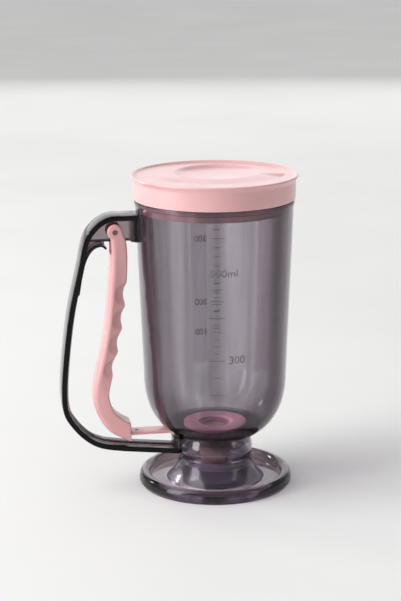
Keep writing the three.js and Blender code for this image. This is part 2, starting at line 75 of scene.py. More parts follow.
# Outlet, gate, seat, seal and nozzle
BORE_RADIUS = 6.8
GATE_LIFT = 7.6
GATE_THICKNESS = 2.1
GATE_BOTTOM = BOWL_BOTTOM + GATE_LIFT
GATE_TOP = GATE_BOTTOM + GATE_THICKNESS
GATE_WIDTH = 11.6
GATE_COVER = 1.2
GATE_SPARE = 0.6
GATE_NECK = 6.8
HOOK_LENGTH = 2.6
KEEPER_RADIUS = 1.3
KEEPER_INSET = 4.4
PAD_HALF = BORE_RADIUS + GATE_COVER
PAD_TAPER = PAD_HALF * 2 - GATE_WIDTH / 2
GATE_TRAVEL = BORE_RADIUS + PAD_HALF + GATE_SPARE
SLOT_FLOOR = GATE_BOTTOM - SEAT_GAP
SLOT_TOP = GATE_TOP + SEAT_GAP
SEAT_RECESS = 0.8
SEAL_DEPTH = 1.5
SEAL_STANDOFF = 0.15
SEAT_RADIUS = 22.5
SEAT_THICKNESS = 2.8
SEAT_FUNNEL = 12.7
SEAT_FUNNEL_SIDE = 2.8
SEAT_TOP = SLOT_TOP + SEAT_THICKNESS
SEAT_LIP = SLOT_TOP + SEAT_THICKNESS * 0.3
NOZZLE_PROUD = 6.6
NOZZLE_BOTTOM = COLLAR_BOTTOM - NOZZLE_PROUD
NOZZLE_RADIUS = 11.6
NOZZLE_MOUTH = 9.4
NOZZLE_WALL = 1.9
NOZZLE_TAPER = 10.8
NOZZLE_TOP = BOWL_BOTTOM - SEAT_GAP
NOZZLE_SHOULDER = NOZZLE_BOTTOM + NOZZLE_TAPER
SPIGOT_REACH = 5.8
SPIGOT_RADIUS = NOZZLE_RADIUS - NOZZLE_WALL - SEAT_GAP
SPIGOT_BORE = SPIGOT_RADIUS - NOZZLE_WALL
SPIGOT_BOTTOM = NOZZLE_TOP - SPIGOT_REACH

# Handle, and the rails that hold it
HANDLE_DROP = 8.6
HANDLE_TOP = RIM_HEIGHT - HANDLE_DROP
HANDLE_DEPTH = 53.9
HANDLE_WIDTH = 19
STRAP = 3.7
WEB = 3.2
RIB = 1.5
ARM_DEPTH = 18.9
ARM_BOTTOM = HANDLE_TOP - ARM_DEPTH
FLANGE = 2.2
FLANGE_SHARE = 0.65
END_PLATE = 1.5
BEAD_WIDTH = 5
BEAD_HEIGHT = 2
LOWER_BLOCK_HEIGHT = 10.4
RAIL_NECK, RAIL_HEAD, RAIL_COVER = 1.5, 1.3, 1.0  # depths of a rail's neck and head, and the wall round it
RAIL_NECK_WIDTH, RAIL_HEAD_WIDTH = 6, 11
RAIL_STOP = 1.8
PAD_OUT = 0.5
LOWER_PAD_OUT = 0.6
LOWER_PAD_WIDTH = 15

# Trigger, pin and spring
PIVOT_SHARE = 0.275
PIVOT_DROP = 11.7
CUFF_SHARE = 0.1046
CUFF_HEIGHT = 9.2
CUFF_UNDER = 1.4
TIP_DROP = 4
TRIGGER_WIDTH = 15.8
TRIGGER_HEAD = 5.3
CHEEK_WALL = 2
SPINE_WALL = 4.4
SPINE_CLEAR = 2.4
CHANNEL = TRIGGER_WIDTH - CHEEK_WALL * 2
CHANNEL_DROP = 16
GROOVE_COUNT = 4
GROOVE_PITCH = 17.4
FIRST_GROOVE = 43.8
GROOVE_RADIUS, GROOVE_DEPTH = 16, 1.8
PIN_RADIUS = 1.4
PIN_PROUD = 0.2
SPRING_WIRE = 0.7
SPRING_TURNS = 2
SPRING_CLEAR = 1.2
SPRING_LEG = 11
SPRING_ROOM = 1.2

# Stand
HUB_TOP = COLLAR_BOTTOM - SEAT_GAP
HUB_WALL = 2.2
HUB_FLARE = 9.1
HUB_HOLLOW = 0.66
STAND_RADIUS = 54.1
STAND_FOOT_INSET = 1.4
STAND_WIDEN = 2.5
STAND_RIM = 9.3
STAND_RIM_WIDTH = 8.4
STAND_FLOOR = 3.2
LIP_WALL = 2
LIP_HEIGHT = 5

# Lid
LID_HEIGHT = 16.8
LID_RECESS = 1.4
LID_PLATE = 3
LID_OVERHANG = 0.9
LID_DRAFT = 0.3
LID_FLARE = 1.8
LID_WALL = 2.2
PLUG_WALL = 2
PLUG_DEPTH = 7.7


def bowl_level(radius):
    """Height at which the bowl's outside has a radius."""
    out = (radius / BOWL_RADIUS) ** (2 / BOWL_POWER)
    return BOWL_HEIGHT - BOWL_DEPTH * (1 - out) ** (BOWL_POWER / 2)


def wall_radius(z):
    """Outside radius of the container's straight wall."""
    return BOWL_RADIUS + (RIM_RADIUS - BOWL_RADIUS) * (z - BOWL_HEIGHT) / (RIM_HEIGHT - BOWL_HEIGHT)


COLLAR_TOP = bowl_level(COLLAR_TOP_RADIUS)
LOWER_TOP = COLLAR_TOP - RUN_GAP
LOWER_BOTTOM = LOWER_TOP - LOWER_BLOCK_HEIGHT
PAD_FACE = wall_radius(HANDLE_TOP) + PAD_OUT
LOWER_PAD_FACE = COLLAR_BULGE_RADIUS + LOWER_PAD_OUT
PLATE_FACE = PAD_FACE + SEAT_GAP
LOWER_PLATE_FACE = LOWER_PAD_FACE + SEAT_GAP
PIVOT_X = -(PLATE_FACE + HANDLE_DEPTH * PIVOT_SHARE)
PIVOT_Z = HANDLE_TOP - PIVOT_DROP
CUFF_FACE = PLATE_FACE + HANDLE_DEPTH * CUFF_SHARE
GATE_END = CUFF_FACE - RUN_GAP
TRIGGER_TIP = GATE_BOTTOM - TIP_DROP

# Fineness of the drawn shapes, and how far their moulded edges are rounded
FULL_CIRCLE = 192  # segments round the container and the stand
LID_CIRCLE = 224  # segments round the lid
EDGE = 0.5
RIB_EDGE = 0.4
PLATE_EDGE = 0.35
RAIL_EDGE = 0.3
PANEL_EDGE = 0.2
STRAIGHT = radians(178)  # a corner flatter than this isn't rounded
SIDE_SHARE = 0.48  # the most of a side that a rounding takes up
STRETCH_LIMIT = 1.6  # how far a sharp corner may move when an outline is drawn in
WELD, SLIVER = 1e-3, 1e-4  # points and edges closer or shorter than this are joined
SCRATCH = "shape"  # name of a shape or mesh until it is finished


def placed(name, data):
    """An object of the data, put into the scene."""
    obj = bpy.data.objects.new(name, data)
    bpy.context.scene.collection.objects.link(obj)
    return obj


def evaluated(obj):
    """A new mesh of the object, with its modifiers applied."""
    bpy.context.view_layer.update()
    return bpy.data.meshes.new_from_object(obj.evaluated_get(bpy.context.evaluated_depsgraph_get()))


def skin(rows, count):
    """Faces over rows of points, each row a ring of count points, closed at both ends."""
    faces = []
    for i in range(rows - 1):
        for k in range(count):
            m = (k + 1) % count
            faces.append([i * count + k, i * count + m, (i + 1) * count + m, (i + 1) * count + k])
    return faces + [list(range(count)), list(range((rows - 1) * count, rows * count))]


# Shapes
def raw(verts, faces):
    """A mesh object in millimetres, its faces turned outwards."""
    mesh = bpy.data.meshes.new(SCRATCH)
    mesh.from_pydata([tuple(map(float, v)) for v in verts], [], faces)
    bm = bmesh.new()
    bm.from_mesh(mesh)
    bmesh.ops.recalc_face_normals(bm, faces=bm.faces)
    if bm.calc_volume(signed=True) < 0:
        bmesh.ops.reverse_faces(bm, faces=bm.faces)
    bm.to_mesh(mesh)
    bm.free()
    return placed(SCRATCH, mesh)


def turned(outline, segments=160, lift=None):
    """A solid turned round Z from a closed outline of (radius, height). lift(x, y, z) may
    change a point's height."""
    verts, rings = [], []
    for r, z in outline:
        if r < TINY:
            rings.append([len(verts)])
            verts.append((0, 0, lift(0, 0, z) if lift else z))
            continue
        rings.append(list(range(len(verts), len(verts) + segments)))
        for k in range(segments):
            a = tau * k / segments
            x, y = r * cos(a), r * sin(a)
            verts.append((x, y, lift(x, y, z) if lift else z))
    faces = []
    for i, ring in enumerate(rings):
        after = rings[(i + 1) % len(rings)]
        if len(ring) == 1 and len(after) == 1:
            continue
        for k in range(segments):
            m = (k + 1) % segments
            face = [ring[k % len(ring)], ring[m % len(ring)], after[m % len(after)], after[k % len(after)]]
            face = list(dict.fromkeys(face))
            if len(face) > 2:
                faces.append(face)
    return raw(verts, faces)


def rounded(points, radii, steps=6):
    """A closed outline with its corners rounded. radii is one number or one for each point."""
    n = len(points)
    radii = [radii] * n if isinstance(radii, (int, float)) else radii
    out = []
    for i, (p, radius) in enumerate(zip(points, radii)):
        p = Vector(p)
        a, b = Vector(points[i - 1]) - p, Vector(points[(i + 1) % n]) - p
        turn = a.angle(b) if min(a.length, b.length) > TINY else pi
        if radius <= 0 or turn > STRAIGHT:
            out.append(tuple(p))
            continue
        reach = min(radius / tan(turn / 2), a.length * SIDE_SHARE, b.length * SIDE_SHARE)
        start, end = p + a.normalized() * reach, p + b.normalized() * reach
        for k in range(steps + 1):
            t = k / steps
            out.append(tuple(start * (1 - t) ** 2 + p * 2 * t * (1 - t) + end * t * t))
    return out


def catmull(points, steps):
    """A smooth line through points."""
    n = len(points)
    out = []
    for s in range(steps + 1):
        p = (n - 1) * s / steps
        i = min(int(p), n - 2)
        w = p - i
        quad = [points[max(i - 1, 0)], points[i], points[i + 1], points[min(i + 2, n - 1)]]
        pair = []
        for p0, p1, p2, p3 in zip(*quad):
            v0, v1 = (p2 - p0) / 2, (p3 - p1) / 2
            cubic, square = 2 * p1 - 2 * p2 + v0 + v1, -3 * p1 + 3 * p2 - 2 * v0 - v1
            pair.append(cubic * w**3 + square * w**2 + v0 * w + p1)
        out.append(tuple(pair))
    return out


def sideways(points, distance):
    """A line moved to the left of its direction."""
    out = []
    for i, (x, z) in enumerate(points):
        xa, za = points[max(i - 1, 0)]
        xb, zb = points[min(i + 1, len(points) - 1)]
        length = hypot(xb - xa, zb - za) or 1
        out.append((x - (zb - za) / length * distance, z + (xb - xa) / length * distance))
    return out


def area(points):
    """The area inside a closed outline, below zero where it runs clockwise."""
    return sum(a[0] * b[1] - b[0] * a[1] for a, b in zip(points, points[1:] + points[:1])) / 2


def inset(points, distances):
    """A closed outline drawn in by a distance for each point."""
    n = len(points)
    sign = 1 if area(points) > 0 else -1
    out = []
    for i, (x, z) in enumerate(points):
        ax, az = points[i - 1]
        bx, bz = points[(i + 1) % n]
        la, lb = hypot(x - ax, z - az) or 1, hypot(bx - x, bz - z) or 1
        nx = -((z - az) / la + (bz - z) / lb)
        nz = (x - ax) / la + (bx - x) / lb
        size = hypot(nx, nz) or 1
        stretch = min(2 / size, STRETCH_LIMIT)
        across, up = sign * nx / size, sign * nz / size
        out.append((x + across * distances[i] * stretch, z + up * distances[i] * stretch))
    return out


def plate(outline, thickness, edge=0.0, steps=5):
    """A plate on the plane y = 0 from an outline of (x, z). edge is the radius of its rounded
    edges, one number or one for each point."""
    n = len(outline)
    edge = [edge] * n if isinstance(edge, (int, float)) else edge
    layers = []
    if max(edge) <= 0:
        layers = [(outline, [thickness / 2] * n)]
    else:
        for k in range(steps + 1):
            a = pi / 2 * k / steps
            line = inset(outline, [e * (1 - cos(a)) for e in edge])
            layers.append((line, [thickness / 2 - e * (1 - sin(a)) for e in edge]))
    full = [(line, [-h for h in heights]) for line, heights in reversed(layers)] + layers
    verts = []
    for line, heights in full:
        verts += [(px, h, pz) for (px, pz), h in zip(line, heights)]
    return raw(verts, skin(len(full), n))


def block(x0, x1, width, z0, z1, edge=0.0):
    """A box between two X and two Z values, with rounded edges."""
    return plate([(x0, z0), (x1, z0), (x1, z1), (x0, z1)], width, edge, steps=4)


def drum(radius, z0, z1, segments=64):
    """A round bar along Z."""
    return turned([(0, z0), (radius, z0), (radius, z1), (0, z1)], segments)


def circle(radius, x, z, segments=64):
    """Points round a circle on the plane y = 0."""
    angles = [tau * k / segments for k in range(segments)]
    return [(x + radius * cos(a), z + radius * sin(a)) for a in angles]


def cross_bar(radius, length, x, z):
    """A round bar along Y."""
    return plate(circle(radius, x, z), length)


def combine(base, operation, *others):
    """base joined with, cut by, or kept inside the others."""
    for other in others:
        modifier = base.modifiers.new(SCRATCH, "BOOLEAN")
        modifier.operation = operation
        modifier.solver = "MANIFOLD"
        modifier.object = other
    mesh = evaluated(base)
    base.modifiers.clear()
    base.data = mesh
    for other in others:
        bpy.data.objects.remove(other)
    return base


def joined(base, *others):
    return combine(base, "UNION", *others)


def cut(base, *others):
    return combine(base, "DIFFERENCE", *others)


def done(obj, name, body, material, nodes=(), sharp=35):
    """Names a shape, turns it to metres, smooths it, and puts it on its body."""
    obj.name = name
    mesh = obj.data
    mesh.name = name
    bm = bmesh.new()
    bm.from_mesh(mesh)
    bmesh.ops.remove_doubles(bm, verts=bm.verts, dist=WELD)
    bmesh.ops.dissolve_degenerate(bm, edges=bm.edges, dist=SLIVER)
    bmesh.ops.scale(bm, vec=(MM, MM, MM), verts=bm.verts)
    bm.to_mesh(mesh)
    bm.free()
    mesh.materials.clear()
    mesh.materials.append(material)
    mesh.shade_smooth()
    mesh.set_sharp_from_angle(angle=radians(sharp))
    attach(obj, body)
    if nodes:
        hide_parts(*nodes)


# Materials
def feed(tree, node, inputs):
    """Fills inputs of a node, each with a plain value or another node's socket."""
    for place, value in inputs.items():
        if isinstance(value, bpy.types.NodeSocket):
            tree.links.new(value, node.inputs[place])
        else:
            node.inputs[place].default_value = value


def new_node(tree, kind, inputs):
    """A new node with its inputs filled."""
    node = tree.nodes.new("ShaderNode" + kind)
    feed(tree, node, inputs)
    return node


def new_material(name):
    """A material with its nodes and its shader."""
    material = bpy.data.materials.new(name)
    material.use_nodes = True
    tree = material.node_tree
    return material, tree, tree.nodes["Principled BSDF"]


def noise(tree, scale, detail=3.0, stretch=(1, 1, 1)):
    """A noise texture on the object's own coordinates."""
    place = new_node(tree, "TexCoord", {}).outputs["Object"]
    place = new_node(tree, "Mapping", {"Vector": place, "Scale": stretch}).outputs["Vector"]
    return new_node(tree, "TexNoise", {"Vector": place, "Scale": scale, "Detail": detail}).outputs["Fac"]


def ramp(tree, source, low, high, start=0.3, end=0.7):
    """Maps a noise to a range of values, or of colours."""
    scale = new_node(tree, "ValToRGB", {"Fac": source})
    for element, value, place in zip(scale.color_ramp.elements, (low, high), (start, end)):
        element.position = place
        element.color = (*value, 1) if isinstance(value, tuple) else (value, value, value, 1)
    return scale.outputs["Color"]


def bump(tree, shader, source, strength, distance):
    """Relief from a noise, with its height in metres."""
    relief = new_node(tree, "Bump", {"Strength": strength, "Distance": distance, "Height": source})
    feed(tree, shader, {"Normal": relief.outputs["Normal"]})


def maths(tree, operation, *values):
    """A sum on numbers or sockets."""
    total = new_node(tree, "Math", dict(enumerate(values)))
    total.operation = operation
    return total.outputs["Value"]


def object_axes(tree):
    """The X, Y and Z sockets of the object's own coordinates."""
    place = new_node(tree, "TexCoord", {}).outputs["Object"]
    return new_node(tree, "SeparateXYZ", {"Vector": place}).outputs


def between(tree, value, low, high):
    """1 where a value lies between two sizes in millimetres, else 0."""
    return maths(tree, "COMPARE", value, (low + high) / 2 * MM, (high - low) / 2 * MM)


def band(tree, side, middle, half, low, high):
    """1 inside an upright band of the container's wall, else 0. Azimuths are in degrees from
    the front (side -1) or the back (side 1)."""
    axes = object_axes(tree)
    angle = maths(tree, "ARCTAN2", axes["X"], maths(tree, "MULTIPLY", axes["Y"], side))
    across = maths(tree, "COMPARE", angle, radians(middle), radians(half))
    return maths(tree, "MULTIPLY", across, between(tree, axes["Z"], low, high))


def zone(tree, inside, outside, low, high, shift=0.0):
    """1 between two radii, round x = shift, and between two heights, else 0."""
    axes = object_axes(tree)
    sides = [maths(tree, "SUBTRACT", axes["X"], shift * MM), axes["Y"]]
    squares = [maths(tree, "MULTIPLY", side, side) for side in sides]
    radius = maths(tree, "SQRT", maths(tree, "ADD", *squares))
    within = between(tree, radius, inside, outside)
    return maths(tree, "MULTIPLY", within, between(tree, axes["Z"], low, high))


def sheet(tree, low, high, bottom, top):
    """1 between two distances from the plane y = 0 and between two heights, else 0."""
    axes = object_axes(tree)
    near = between(tree, maths(tree, "ABSOLUTE", axes["Y"]), low, high)
    return maths(tree, "MULTIPLY", near, between(tree, axes["Z"], bottom, top))


# Sockets of a Mix node that mixes colours
MIX_FACTOR, MIX_FIRST, MIX_SECOND, MIX_RESULT = 0, 6, 7, 2


def mixed(tree, blend, factor, first, second):
    """Two colours mixed, each a plain one or a socket."""
    mixer = new_node(tree, "Mix", {})
    mixer.data_type, mixer.blend_type = "RGBA", blend
    feed(tree, mixer, {MIX_FACTOR: factor, MIX_FIRST: first, MIX_SECOND: second})
    return mixer.outputs[MIX_RESULT]


def toned(tree, tone, mask, places, blend="MULTIPLY"):
    """A tone changed in some places, each what the mask needs and a colour."""
    for *place, colour in places:
        tone = mixed(tree, blend, mask(tree, *place), tone, (*colour, 1))
    return tone


# Painted shade: how much of the edge's colour a wall takes on, the more it is seen at a slant
SLANT_SHARES = ((0.12, 0.1), (0.3, 0.55), (0.5, 1.0), (0.66, 0.9), (0.85, 0.4))


def slanted(tree, edge, reflection_streak):
    """White, with painted shade towards the edge's colour at a slant, and upright streaks of painted
    reflection.
    """
    facing = new_node(tree, "LayerWeight", {"Blend": 0.5}).outputs["Facing"]
    tint = new_node(tree, "ValToRGB", {"Fac": facing})
    low, high = tint.color_ramp.elements
    low.position, high.position = 0.0, 1.0
    low.color = high.color = (1, 1, 1, 1)
    for place, share in SLANT_SHARES:
        element = tint.color_ramp.elements.new(place)
        element.color = tuple(1 - share * (1 - c) for c in edge) + (1,)
    # upright streaks of painted reflection
    drawn = noise(tree, 48, 3.0, (1, 1, 0.03))
    lines = ramp(tree, drawn, (reflection_streak, reflection_streak, reflection_streak), (1.0, 1.0, 1.0), 0.38, 0.56)
    return mixed(tree, "MULTIPLY", 1.0, tint.outputs["Color"], lines)


def lit_inside(tree, shader):
    """The shader, but clear to direct light, so that what is inside the plastic is lit."""
    shadow = new_node(tree, "LightPath", {}).outputs["Is Shadow Ray"]
    clear = new_node(tree, "BsdfTransparent", {"Color": (0.985, 0.98, 0.985, 1)}).outputs["BSDF"]
    return new_node(tree, "MixShader", {0: shadow, 1: shader.outputs["BSDF"], 2: clear}).outputs["Shader"]


FROST_COAT, FROST_COAT_ROUGHNESS = 0.3, 0.02


def smoked(
    name, depth, density, roughness, edge, reflection_streak, ior, bands=(), plain=(), zones=(), sheets=(), frosted=()
):
    """Clear plastic with smoke in its depth, painted shade at a slant, upright streaks of painted
    reflection, faint ripples and a slight haze.
    depth is the smoke's colour, density its strength for each metre."""
    material, tree, shader = new_material(name)
    tone = toned(tree, slanted(tree, edge, reflection_streak), band, bands)
    tone = toned(tree, tone, zone, plain, "MIX")
    tone = toned(tree, tone, zone, zones)
    tone = toned(tree, tone, sheet, sheets)
    blur = ramp(tree, noise(tree, 90, 4.0), roughness * 0.6, roughness * 1.6)
    for *place, amount in frosted:
        blur = mixed(tree, "ADD", zone(tree, *place), blur, (amount, amount, amount, 1))
    feed(tree, shader, {"Base Color": tone, "Roughness": blur, "Transmission Weight": 1.0, "IOR": ior})
    if frosted:
        feed(tree, shader, {"Coat Weight": FROST_COAT, "Coat Roughness": FROST_COAT_ROUGHNESS})
    bump(tree, shader, noise(tree, 26, 2.0, (1, 1, 0.35)), 0.05, 0.002)
    smoke = new_node(tree, "VolumeAbsorption", {"Color": (*depth, 1), "Density": density})
    ends = {"Surface": lit_inside(tree, shader), "Volume": smoke.outputs["Volume"]}
    feed(tree, tree.nodes["Material Output"], ends)
    return material


GRAIN_STRENGTH, GRAIN_DEPTH = 0.35, 0.00006
SKIN_DEPTHS = (0.004, 0.0016, 0.0012)  # how far red, green and blue light reach into plastic


def moulded(name, light, dark, roughness, grain=900, subsurface=0.06, coat=0.0, zones=()):
    """Coloured plastic or silicone with a fine grain and a slow change of tone."""
    material, tree, shader = new_material(name)
    tone = toned(tree, ramp(tree, noise(tree, 22, 3.0, (1, 1, 0.5)), dark, light), zone, zones)
    patches = ramp(tree, noise(tree, 60, 5.0), roughness - 0.05, roughness + 0.06)
    feed(tree, shader, {"Base Color": tone, "Roughness": patches, "IOR": 1.48})
    feed(tree, shader, {"Subsurface Weight": subsurface, "Subsurface Radius": SKIN_DEPTHS})
    feed(tree, shader, {"Coat Weight": coat, "Coat Roughness": 0.2})
    bump(tree, shader, noise(tree, grain, 2.0), GRAIN_STRENGTH, GRAIN_DEPTH)
    return material


def brushed(name, light, dark, roughness):
    """Steel with fine turning marks."""
    material, tree, shader = new_material(name)
    marks = noise(tree, 700, 6.0, (1, 0.15, 1))
    patches = ramp(tree, marks, roughness - 0.08, roughness + 0.1)
    tone = ramp(tree, marks, dark, light)
    feed(tree, shader, {"Metallic": 1.0, "Base Color": tone, "Roughness": patches})
    bump(tree, shader, marks, 0.25, 0.00003)
    return material


def stage_floor(name):
    """A matt pale table top with a barely visible mottle."""
    material, tree, shader = new_material(name)
    pale = ramp(tree, noise(tree, 3.5, 4.0), (0.77, 0.765, 0.75), (0.81, 0.805, 0.79))
    feed(tree, shader, {"Base Color": pale, "Roughness": 0.7, "Specular IOR Level": 0.15})
    return material


# Where a material's tone changes: what band, zone or sheet needs, and a colour
ALL = -1  # a lower limit under any radius or distance
FLOOR_TINT = (0.30, 0.25, 0.29)
SCALE_LOW, SCALE_HIGH = 74, 199
# Painted shade: darker upright bands on the container's wall, one at the front, one at the back and two at
# the front right
SHADED_WALL_BANDS = (
    (-1, -8.2, 6.7, SCALE_LOW, SCALE_HIGH, (0.93, 0.91, 0.93)),
    (1, -2.4, 6.6, SCALE_LOW, SCALE_HIGH, (0.82, 0.785, 0.82)),
    (-1, 31, 8.5, 92, SCALE_HIGH, (0.88, 0.84, 0.88)),
    (-1, 44, 3, 110, SCALE_HIGH, (0.84, 0.80, 0.84)),
)
BASE_REACH = 44  # radius that the collar and the valve floor stay inside
# Lifts the painted slant shade: the collar's tone is set near white
COLLAR_ZONES = ((23.6, BASE_REACH, COLLAR_BOTTOM - 1, BOWL_BOTTOM - 0.1, (0.97, 0.94, 0.97)),)
CONTAINER_ZONES = (
    (ALL, 23.2, BOWL_BOTTOM - 0.1, SLOT_TOP - 0.1, FLOOR_TINT),
    (ALL, BASE_REACH, COLLAR_TOP + 0.2, SLOT_TOP + SEAT_RECESS + 0.1, FLOOR_TINT),
)
HUB_REACH = 36  # radius that the hub's flare stays inside
RIM_CREST = STAND_RADIUS - 4.3
RIM_INNER = STAND_RADIUS - 8.9
STAND_ZONES = (
    (ALL, HUB_REACH, STAND_FLOOR + 0.4, HUB_TOP - 0.6, (0.57, 0.53, 0.60)),
    (HUB_REACH, STAND_RADIUS - 8.6, STAND_FLOOR - 1, STAND_FLOOR + 0.5, (0.50, 0.46, 0.47)),
    (RIM_CREST, STAND_RADIUS + 1, -1, STAND_RIM + 1, (1.0, 0.86, 1.0)),
    # Painted shade: the rim's inner wall and the crease at its foot, darkened nearly black
    (RIM_INNER, RIM_CREST - 0.1, STAND_FLOOR - 0.3, STAND_RIM + 1, (0.13, 0.10, 0.095)),
)
# Each row ends with the roughness that it adds
STAND_FROST = (
    (ALL, HUB_REACH, -1, HUB_TOP - 3, 0.2), (RIM_CREST, STAND_RADIUS + 1, -1, STAND_RIM + 1, 0.14),
)
WEB_FACE = WEB / 2 + 0.1
HANDLE_SIDE = HANDLE_WIDTH / 2
ABOVE_HANDLE = HANDLE_TOP + 1
HANDLE_SHEETS = (
    (ALL, WEB_FACE, 0, ABOVE_HANDLE, (0.47, 0.41, 0.425)),
    # Painted shade: a dark strip on the web along the arm's lower edge
    (ALL, WEB_FACE, ARM_BOTTOM - 0.1, ARM_BOTTOM + 1.5, (0.12, 0.1, 0.12)),
    (WEB / 2 + 0.3, HANDLE_SIDE - 0.6, 0, ABOVE_HANDLE, (0.84, 0.79, 0.77)),
    # Painted shade: the handle's side faces, darkened nearly black
    (HANDLE_SIDE - 0.15, HANDLE_SIDE + 1, 0, ABOVE_HANDLE, (0.004, 0.003, 0.004)),
)
SEAT_LOW, SEAT_HIGH = 30, 60
SEAT_SHADE_AND_HIGHLIGHT = (
    # Painted shade inside the funnel, set off centre to the left so that its right wall stays light
    (ALL, 11.0, SEAT_LOW, SEAT_HIGH, -1.2, (0.50, 0.37, 0.39)),
    # Painted highlight: a lighter ring round the funnel's rim
    (11.4, 12.9, SEAT_LOW, SEAT_HIGH, 0, (1.12, 1.12, 1.12)),
)

CLEAR = smoked(
    "smoked clear plastic", depth=(0.525, 0.45, 0.54), density=330, roughness=0.006,
    edge=(0.30, 0.245, 0.275), reflection_streak=0.66, ior=1.49,
    bands=SHADED_WALL_BANDS, plain=COLLAR_ZONES, zones=CONTAINER_ZONES,
)
HANDLE = smoked(
    "smoked handle plastic", depth=(0.52, 0.45, 0.49), density=300, roughness=0.008,
    edge=(0.34, 0.28, 0.27), reflection_streak=0.9, ior=1.28, sheets=HANDLE_SHEETS,
)
DARK = smoked(
    "smoked stand plastic", depth=(0.52, 0.46, 0.54), density=100, roughness=0.010,
    edge=(0.70, 0.65, 0.70), reflection_streak=0.92, ior=1.3, zones=STAND_ZONES, frosted=STAND_FROST,
)
PINK = moulded("pink satin plastic", (0.80, 0.41, 0.41), (0.75, 0.365, 0.365), 0.3, coat=0.6)
LID_PINK = moulded("pink lid plastic", (0.79, 0.445, 0.45), (0.745, 0.40, 0.405), 0.34, coat=0.6)
# Painted shade: the seat's pink silicone, darkened for the nozzle and the seal
SHADED_SILICONE = moulded("pink silicone in painted shade", (0.27, 0.14, 0.135), (0.24, 0.125, 0.12), 0.5, grain=1500)
SEAT = moulded(
    "pink seat silicone", (0.98, 0.55, 0.64), (0.94, 0.50, 0.585), 0.38, grain=1500, zones=SEAT_SHADE_AND_HIGHLIGHT
)
STEEL = brushed("pin steel", (0.24, 0.20, 0.19), (0.14, 0.12, 0.11), 0.4)
FIGURES = moulded(
    "figure print", (0.17, 0.145, 0.17), (0.13, 0.11, 0.13), 0.45, grain=2200, subsurface=0.0
)
MARKS = moulded("scale print", (0.11, 0.095, 0.11), (0.08, 0.07, 0.08), 0.45, grain=2200, subsurface=0.0)


# Container
def bowl_curve(inset_by, steps=30):
    """The bowl's profile from its lowest point up, drawn in by a distance."""
    points = [(0, BOWL_BOTTOM + inset_by)]
    for i in range(steps - 1, -1, -1):
        a = pi / 2 * i / steps
        out, down = cos(a) ** BOWL_POWER, sin(a) ** BOWL_POWER
        points.append(((BOWL_RADIUS - inset_by) * out, BOWL_HEIGHT - (BOWL_DEPTH - inset_by) * down))
    return points


def vessel():
    """The round-bottomed shell with its rim's band."""
    bowl_out, bowl_in = bowl_curve(0), bowl_curve(WALL)
    low, proud = RIM_HEIGHT - BAND_HEIGHT, RIM_RADIUS + BAND_PROUD
    lip = rounded(
        [
            bowl_out[-1], (wall_radius(low), low),
            (proud, low + BAND_PROUD), (proud, RIM_HEIGHT), (RIM_RADIUS - WALL, RIM_HEIGHT),
            bowl_in[-1],
        ],
        [0, 0.3, 0.3, 0.8, 0.8, 0],
    )
    return turned(bowl_out[:-1] + lip + bowl_in[:-1][::-1], FULL_CIRCLE)


def valve_floor():
    """The thick floor in the bowl, with the seat's recess."""
    top = SLOT_TOP + SEAT_RECESS
    recess = drum(SEAT_RADIUS + SEAT_GAP, SLOT_TOP, top + OVERRUN, 128)
    floor = cut(drum(RIM_RADIUS, BOWL_BOTTOM, top, FULL_CIRCLE), recess)
    outside = turned(bowl_curve(0) + [(RIM_RADIUS, RIM_HEIGHT), (0, RIM_HEIGHT)], FULL_CIRCLE)
    return combine(floor, "INTERSECT", outside)


def pad(face, root, width, bottom, top):
    """A pad for the handle's end, with the rail that the handle slides onto."""
    neck, low = face + RAIL_NECK, bottom + RAIL_STOP + SEAT_GAP
    rail = joined(
        block(-neck - BITE, -root, RAIL_NECK_WIDTH, low, top),
        block(-neck - RAIL_HEAD, -neck, RAIL_HEAD_WIDTH, low, top, RAIL_EDGE),
    )
    return joined(block(-face, -root, width, bottom, top, EDGE), rail)


def upper_pad():
    """The pad on the wall, cut off at the wall's inside."""
    inner, top = RIM_RADIUS - WALL, RIM_HEIGHT + OVERRUN
    whole = pad(PAD_FACE, wall_radius(ARM_BOTTOM) - WALL, HANDLE_WIDTH, ARM_BOTTOM, HANDLE_TOP)
    inside = turned(bowl_curve(WALL) + [(inner, RIM_HEIGHT), (inner, top), (0, top)], FULL_CIRCLE)
    return cut(whole, inside)


def lower_pad():
    """The pad on the neck collar."""
    root = COLLAR_TOP_RADIUS - COLLAR_WALL / 2
    return pad(LOWER_PAD_FACE, root, LOWER_PAD_WIDTH, LOWER_BOTTOM, LOWER_TOP)


def collar():
    """The neck collar under the bowl."""
    middle = (COLLAR_BOTTOM + COLLAR_TOP) / 2
    rings = [(COLLAR_RADIUS, COLLAR_BOTTOM), (COLLAR_BULGE_RADIUS, middle), (COLLAR_TOP_RADIUS, COLLAR_TOP)]
    outer = catmull(rings, 16)
    hollow = [(r - COLLAR_WALL, z) for r, z in outer]
    return turned(outer + hollow[::-1], FULL_CIRCLE)


